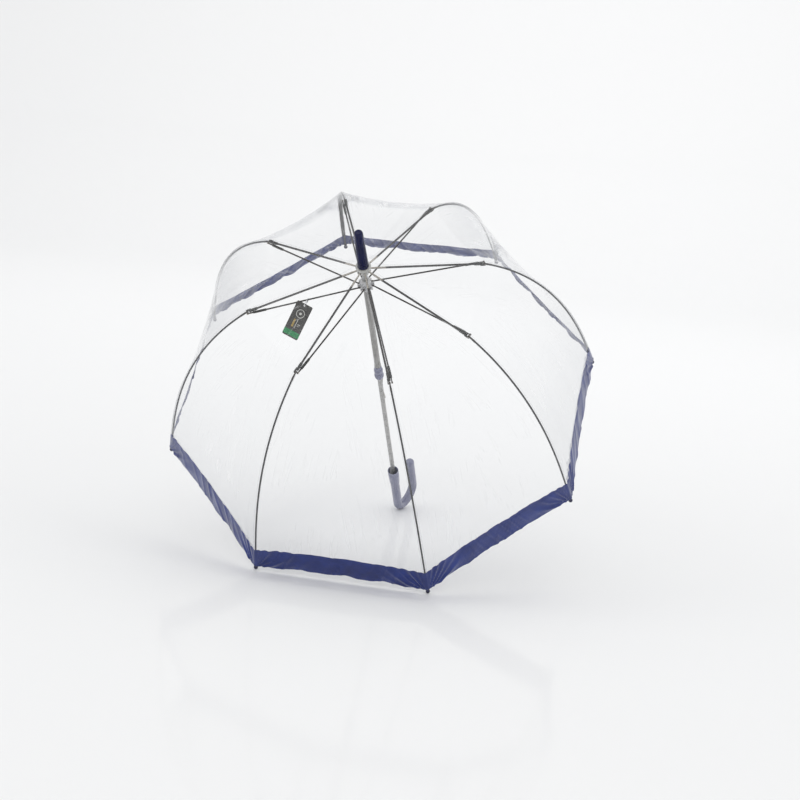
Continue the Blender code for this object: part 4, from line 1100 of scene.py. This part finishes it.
def hem_line(gi, mm, vv):
    """Where the cloth really lies down the rib's line: pointed at the tips, notched above them, and slightly wavy between."""
    r = np.interp(mm, M, line[:, 0])
    near = np.minimum(vv, 1 - vv) * 2 * r * math.sin(math.pi / RIBS)
    side = np.where(vv < 0.5, near, -near)
    f = np.clip((mm - HEM_START) / HEM_WIDTH, 0, 1)
    w = WAVES[gi % RIBS]
    away = smooth_step(near, 0.008, 0.04)
    wavy = 0.0013 * np.sin(2 * math.pi * side / 0.083 + w[4][0]) + 0.0008 * np.sin(2 * math.pi * side / 0.034 + w[5][0])
    upper = 0.0005 * np.sin(2 * math.pi * side / 0.061 + w[6][0])
    return mm + f * (wavy * away + 0.0016 * np.exp(-(near / 0.009) ** 2)) + (1 - f) * (upper * away + 0.0024 * np.exp(-(near / 0.010) ** 2))


def hem_gather(gi, mm, vv):
    """Satin's own puckers: short diagonal gathers by the tips and fine cross folds along the stitched edges."""
    r = np.interp(mm, M, line[:, 0])
    nr, nz = np.interp(mm, M, OUT_R), np.interp(mm, M, OUT_Z)
    width = 2 * r * math.sin(math.pi / RIBS)
    near = np.minimum(vv, 1 - vv) * width
    side = np.where(vv < 0.5, near, -near)
    w = WAVES[gi % RIBS]
    down_m = HEM_END - mm
    slack = 1.7 if gi in (5, 6, 7, 8) else 1.0
    fan = np.arctan2(near, np.maximum(down_m + 0.006, 1e-4))
    crease = (0.5 + 0.5 * np.sin(fan * 17.0 * w[0][1] + near * 90.0 + w[0][0])) ** 1.6
    d = 0.0027 * np.exp(-(near / 0.058) ** 2) * crease * smooth_step(near, 0.002, 0.014)
    lean_ = side * w[1][1] + (0.55 if gi % 2 else -0.45) * down_m
    soft = np.sin(2 * math.pi * lean_ / 0.027 + w[1][0] + 1.4 * np.sin(2 * math.pi * side / 0.11 + w[3][0]))
    d += 0.0013 * slack * np.clip(soft, -0.2, 1.0) ** 2 * (0.35 + 0.65 * np.sin(math.pi * np.clip(side / 0.13 + w[6][0], -9, 9)) ** 2) * smooth_step(near, 0.008, 0.05)
    f = np.clip((mm - HEM_START) / HEM_WIDTH, 0, 1)
    d += 0.0016 * slack * (0.5 + 0.5 * np.sin(2 * math.pi * side / 0.071 + w[2][0])) * (0.35 + 0.65 * f) * smooth_step(near, 0.01, 0.05) * smooth_step(f, 0.0, 0.25)
    az = azimuth(gi) + (azimuth(gi + 1) - azimuth(gi)) * vv
    return np.stack([d * nr * np.cos(az), d * nr * np.sin(az), d * nz], -1)


HALF_SAVE, V_SAVE = HALF, V_ALL
HALF = 46
vs = [0.5 * (0.75 * (i / HALF) + 0.25 * (i / HALF) ** 1.8) for i in range(HALF + 1)]
V_ALL = np.array(vs + [1 - q for q in reversed(vs[:-1])])
hem_m = np.concatenate([[HEM_START, HEM_START + 0.0004, HEM_START + 0.0010], np.linspace(HEM_START + 0.0030, HEM_END - 0.0012, 22), [HEM_END - 0.0006, HEM_END - 0.0002, HEM_END]])
PH, NH = field(hem_m, off=LIFTED, extra=hem_gather)
back_m = np.array([HEM_END, HEM_END - 0.0003, HEM_END - 0.0010, HEM_END - 0.0040, HEM_END - FOLD + 0.0008, HEM_END - FOLD])
back_off = [0.00020, -0.00012, -0.00028, -0.00030, -0.00030, -0.00005]
back = {gi: [] for gi in range(1, RIBS + 1)}
for m_, o_ in zip(back_m, back_off):
    for gi in range(1, RIBS + 1):
        mm, vv = np.full((1, len(V_ALL)), m_), V_ALL[None, :]
        pts = gore(gi, hem_line(gi, mm, vv), vv, LIFTED + o_ - 0.0002) + hem_gather(gi, mm, vv)
        back[gi].append(to_world(pts)[0])
hem_objects = []
for k in range(1, RIBS + 1):
    before, after = wheel(k - 1), k
    p, n = petal_grid(PH, NH, k, slice(None))
    bp = np.stack([np.concatenate([back[before][i][HALF:-1], back[after][i][:HALF + 1]]) for i in range(len(back_m))], 0)
    bn = np.repeat(-n[-4:-3], len(back_m), axis=0)
    bn[0] = n[-1] * 0.2 + (bp[0] - p[-6]) / (np.linalg.norm(bp[0] - p[-6], axis=1)[:, None] + 1e-9)
    bn[0] /= np.linalg.norm(bn[0], axis=1)[:, None]
    bn[1] = bn[0] - n[-1]
    bn[1] /= np.linalg.norm(bn[1], axis=1)[:, None]
    pp, nn = np.concatenate([p, bp], 0), np.concatenate([n, bn], 0)
    rows_m = np.concatenate([hem_m, HEM_END + (HEM_END - back_m)])
    uv = petal_uv(pp, k, rows_m)
    for wing, cols, far in (("a", slice(0, HALF + 1), 0), ("b", slice(HALF, 2 * HALF + 1), -1)):
        ob = grid_object("hem_satin_%d%s" % (k, wing), pp[:, cols], nn[:, cols], uv[:, cols], ["hem"], "rod_%d" % k)
        if k == 1 and wing == "a":
            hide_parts("canopy_hem")
        along = pp[12, far] - pp[12, HALF]
        hem_objects.append((ob, pp[:, cols], k, wing, tuple(along / np.linalg.norm(along)), tuple(pp[12, HALF])))


def stitches(k, wing, m_line, pitch, length, lift, thick=0.00016):
    """A row of short raised stitches along the hem on one side of rib k."""
    bm = bmesh.new()
    for gi, lo, hi in (((wheel(k - 1), 0.5, 1.0),) if wing == "a" else ((k, 0.0, 0.5),)):
        r = float(np.interp(m_line, M, line[:, 0]))
        width = 2 * r * math.sin(math.pi / RIBS)
        count = int(width * 0.5 / pitch)
        for i in range(count):
            v0 = lo + (hi - lo) * (i + 0.5 - 0.5 * length / pitch) / count
            v1 = lo + (hi - lo) * (i + 0.5 + 0.5 * length / pitch) / count
            vv = np.array([v0, v0 + (v1 - v0) * 0.2, (v0 + v1) / 2, v1 - (v1 - v0) * 0.2, v1])
            mm = np.full(5, m_line)
            hm = hem_line(gi, mm, vv)
            q = gore(gi, hm, vv, LIFTED + 0.00002) + hem_gather(gi, mm, vv)
            up = gore(gi, hm, vv, LIFTED + 0.001) + hem_gather(gi, mm, vv) - q
            up /= np.linalg.norm(up, axis=1)[:, None]
            q = to_world(q + up * np.array([-0.00010, 0.00006, 0.00014, 0.00006, -0.00010])[:, None])
            w3 = np.array(TO_WORLD)[:3, :3]
            upw = up @ w3.T
            d = q[-1] - q[0]
            d /= np.linalg.norm(d)
            rings = []
            for j in range(5):
                u = Vector(upw[j])
                s = Vector(np.cross(d, upw[j])).normalized()
                rr = thick * (0.5, 0.9, 1.0, 0.9, 0.5)[j]
                rings.append(circle(Vector(q[j]), u, s * 1.5, rr, 6))
            skin(bm, rings)
    return bm


def squash_to_rib(ob, keep=KEEP):
    keep = KEEP_OUTER if "_outer_" in ob.name else keep
    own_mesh(ob)


for ob, pp, k, wing, along, foot in hem_objects:
    bm = joined([(stitches(k, wing, HEM_END - FOLD + 0.0012, 0.0034, 0.0025, 0), 0), (stitches(k, wing, HEM_START + 0.0016, 0.0034, 0.0025, 0), 0),
                 (stitches(k, wing, HEM_START + 0.0046, 0.0034, 0.0025, 0), 0)])
    st = piece("hem_stitching_%d%s" % (k, wing), bm, ["thread"], None, "rod_%d" % k)
    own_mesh(ob)
    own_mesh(st)
    w, l = measured(pp)

for entry in film_parts:
    ob, p, k, part = entry[:4]
    squash_to_rib(ob)
    w, l = measured(p)

# tie threads from the hem's point to the tip cap
for k in range(1, RIBS + 1):
    parts = []
    for t0, t1 in ((-0.0016, -0.0004), (0.0, 0.0), (0.0016, 0.0004)):
        pts = []
        for i in range(9):
            f = i / 8
            s = ROD_ARC - HEM_CLEAR - 0.004 + f * 0.0052
            r, z = rod_at(min(s, ROD_ARC))
            sl = rod_slope(min(s, ROD_ARC))
            off = FILM_OFF + 0.0009 - f * 0.0006 + 0.0004 * math.sin(math.pi * f)
            if i == 8:
                off = 0.0031
            pts.append(Vector((r - JOINT_R + off * math.sin(sl), t0 + (t1 - t0) * f, z - JOINT_Z + off * math.cos(sl))))
        parts.append((capped(pts, 0.00028, 8), 0))
    piece("tip_thread_%d" % k, joined(parts), ["thread"], rib_matrix(k, JOINT_R, 0, JOINT_Z), "rod_%d" % k)

# ---- swing tag ------------------------------------------------------------------------------------------------------------------
to_leaned = Matrix.Rotation(-LEAN, 3, "X")
hang = (Matrix.Rotation(azimuth(1), 3, "Z") @ Vector((RUNNER_RING_R, STRETCHER_SIDE, RUNNER_Z))) + (Matrix.Rotation(azimuth(1), 3, "Z") @ Vector((reach.x, 0, reach.z))) * TAG_AT
d_tag = to_leaned @ Vector((-math.sin(TAG_LEAN), 0, -math.cos(TAG_LEAN)))
w_tag = to_leaned @ Vector((math.cos(TAG_LEAN), 0, -math.sin(TAG_LEAN)))
n_tag = d_tag.cross(w_tag).normalized()
LOOP_R, LOOP_T, LOOP_DROP = 0.0072, 0.0005, 0.0046
hang_m = TO_WORLD @ Matrix.Translation(hang)
bm = bmesh.new()
ring = []
for i in range(64):
    a = 2 * math.pi * i / 64
    out = d_tag * math.cos(a) + n_tag * math.sin(a)
    ring.append(circle(d_tag * LOOP_DROP + out * LOOP_R, out, w_tag, LOOP_T, 12))
skin(bm, ring, loop=True)
lock_c = d_tag * LOOP_DROP - n_tag * LOOP_R
lock = tube([lock_c + d_tag * q for q in (-0.0016, -0.0014, -0.0007, 0.0, 0.0007, 0.0014, 0.0016)], [0.0004, 0.0009, 0.0012, 0.0013, 0.0012, 0.0009, 0.0004], 16)
piece("tag_string_loop", joined([(bm, 0), (lock, 0)]), ["loop"], hang_m, body="tag", replaces=["tag_loop"])

CARD_TOP = LOOP_DROP + LOOP_R - 0.0036
HOLE_R = 0.0016


def card_point(w, d, n):
    return w_tag * w + d_tag * d + n_tag * n


def card_outline(inset):
    pts, rr = [], 0.0024 - inset
    for cx, cd, a0 in ((1, 0, -90), (1, 1, 0), (-1, 1, 90), (-1, 0, 180)):
        for j in range(7):
            a = math.radians(a0 + 90 * j / 6)
            pts.append((cx * (TAG_W / 2 - 0.0024) + rr * math.cos(a), CARD_TOP + (0.0024 if cd == 0 else TAG_H - 0.0024) + rr * math.sin(a)))
    return pts


bm = bmesh.new()
skin(bm, [[card_point(w, d, n) for w, d in card_outline(i)] for n, i in ((-TAG_T / 2, 0.0001), (-TAG_T / 2 + 0.0001, 0.0), (TAG_T / 2 - 0.0001, 0.0), (TAG_T / 2, 0.0001))], ends=False)
bm.verts.ensure_lookup_table()
per = len(card_outline(0))
bm.faces.new([bm.verts[i] for i in range(per)])
bm.faces.new([bm.verts[i] for i in reversed(range(3 * per, 4 * per))])
hole = bmesh.new()
skin(hole, [[card_point(HOLE_R * math.cos(2 * math.pi * i / 32), LOOP_DROP + LOOP_R + HOLE_R * math.sin(2 * math.pi * i / 32), n) for i in range(32)] for n in (-0.002, 0.002)])
card = cut(bm, [hole])


def print_patch(w0, w1, d0, d1, sidez):
    """A printed area, a hair proud of the card, with rounded corners."""
    b2 = bmesh.new()
    rr = min(0.0006, (w1 - w0) / 3, (d1 - d0) / 3)
    ring = []
    for cx, cd, a0 in ((w1 - rr, d0 + rr, -90), (w1 - rr, d1 - rr, 0), (w0 + rr, d1 - rr, 90), (w0 + rr, d0 + rr, 180)):
        for j in range(4):
            a = math.radians(a0 + 30 * j)
            ring.append((cx + rr * math.cos(a), CARD_TOP + cd + rr * math.sin(a)))
    base = sidez * TAG_T / 2
    skin(b2, [[card_point(w, d, base - sidez * 0.00004) for w, d in ring], [card_point(w, d, base + sidez * 0.00005) for w, d in ring]])
    return b2


def ring_patch(wc, dc, ro, ri, sidez, n=40):
    b2 = bmesh.new()
    base = sidez * TAG_T / 2
    rows = []
    for r, z in ((ro, -0.00004), (ro, 0.00005), (ri, 0.00005), (ri, -0.00004)):
        rows.append([card_point(wc + r * math.cos(2 * math.pi * i / n), CARD_TOP + dc + r * math.sin(2 * math.pi * i / n), base + sidez * z) for i in range(n)])
    skin(b2, rows, loop=True)
    return b2


parts = [(card, 0)]
W2 = TAG_W / 2
for s in (-1, 1):
    parts += [(print_patch(-W2 + 0.0003, W2 - 0.0003, 0.0535, TAG_H - 0.0026, s), 1),
              (ring_patch(0, 0.0200, 0.0078, 0.0068, s), 3), (ring_patch(0, 0.0200, 0.0024, 0.0001, s), 3),
              (print_patch(-0.0062, -0.0030, 0.0325, 0.0475, s), 2), (print_patch(0.0002, 0.0012, 0.0310, 0.0485, s), 3), (print_patch(0.0035, 0.0085, 0.0390, 0.0400, s), 3),
              (print_patch(0.0035, 0.0075, 0.0420, 0.0428, s), 3)]
piece("paper_tag", joined(parts), ["card", "card_green", "card_gold", "card_white"], hang_m, body="tag", replaces=["swing_tag"], smooth=30.0)

# ---- finish ---------------------------------------------------------------------------------------------------------------------
bpy.context.view_layer.update()
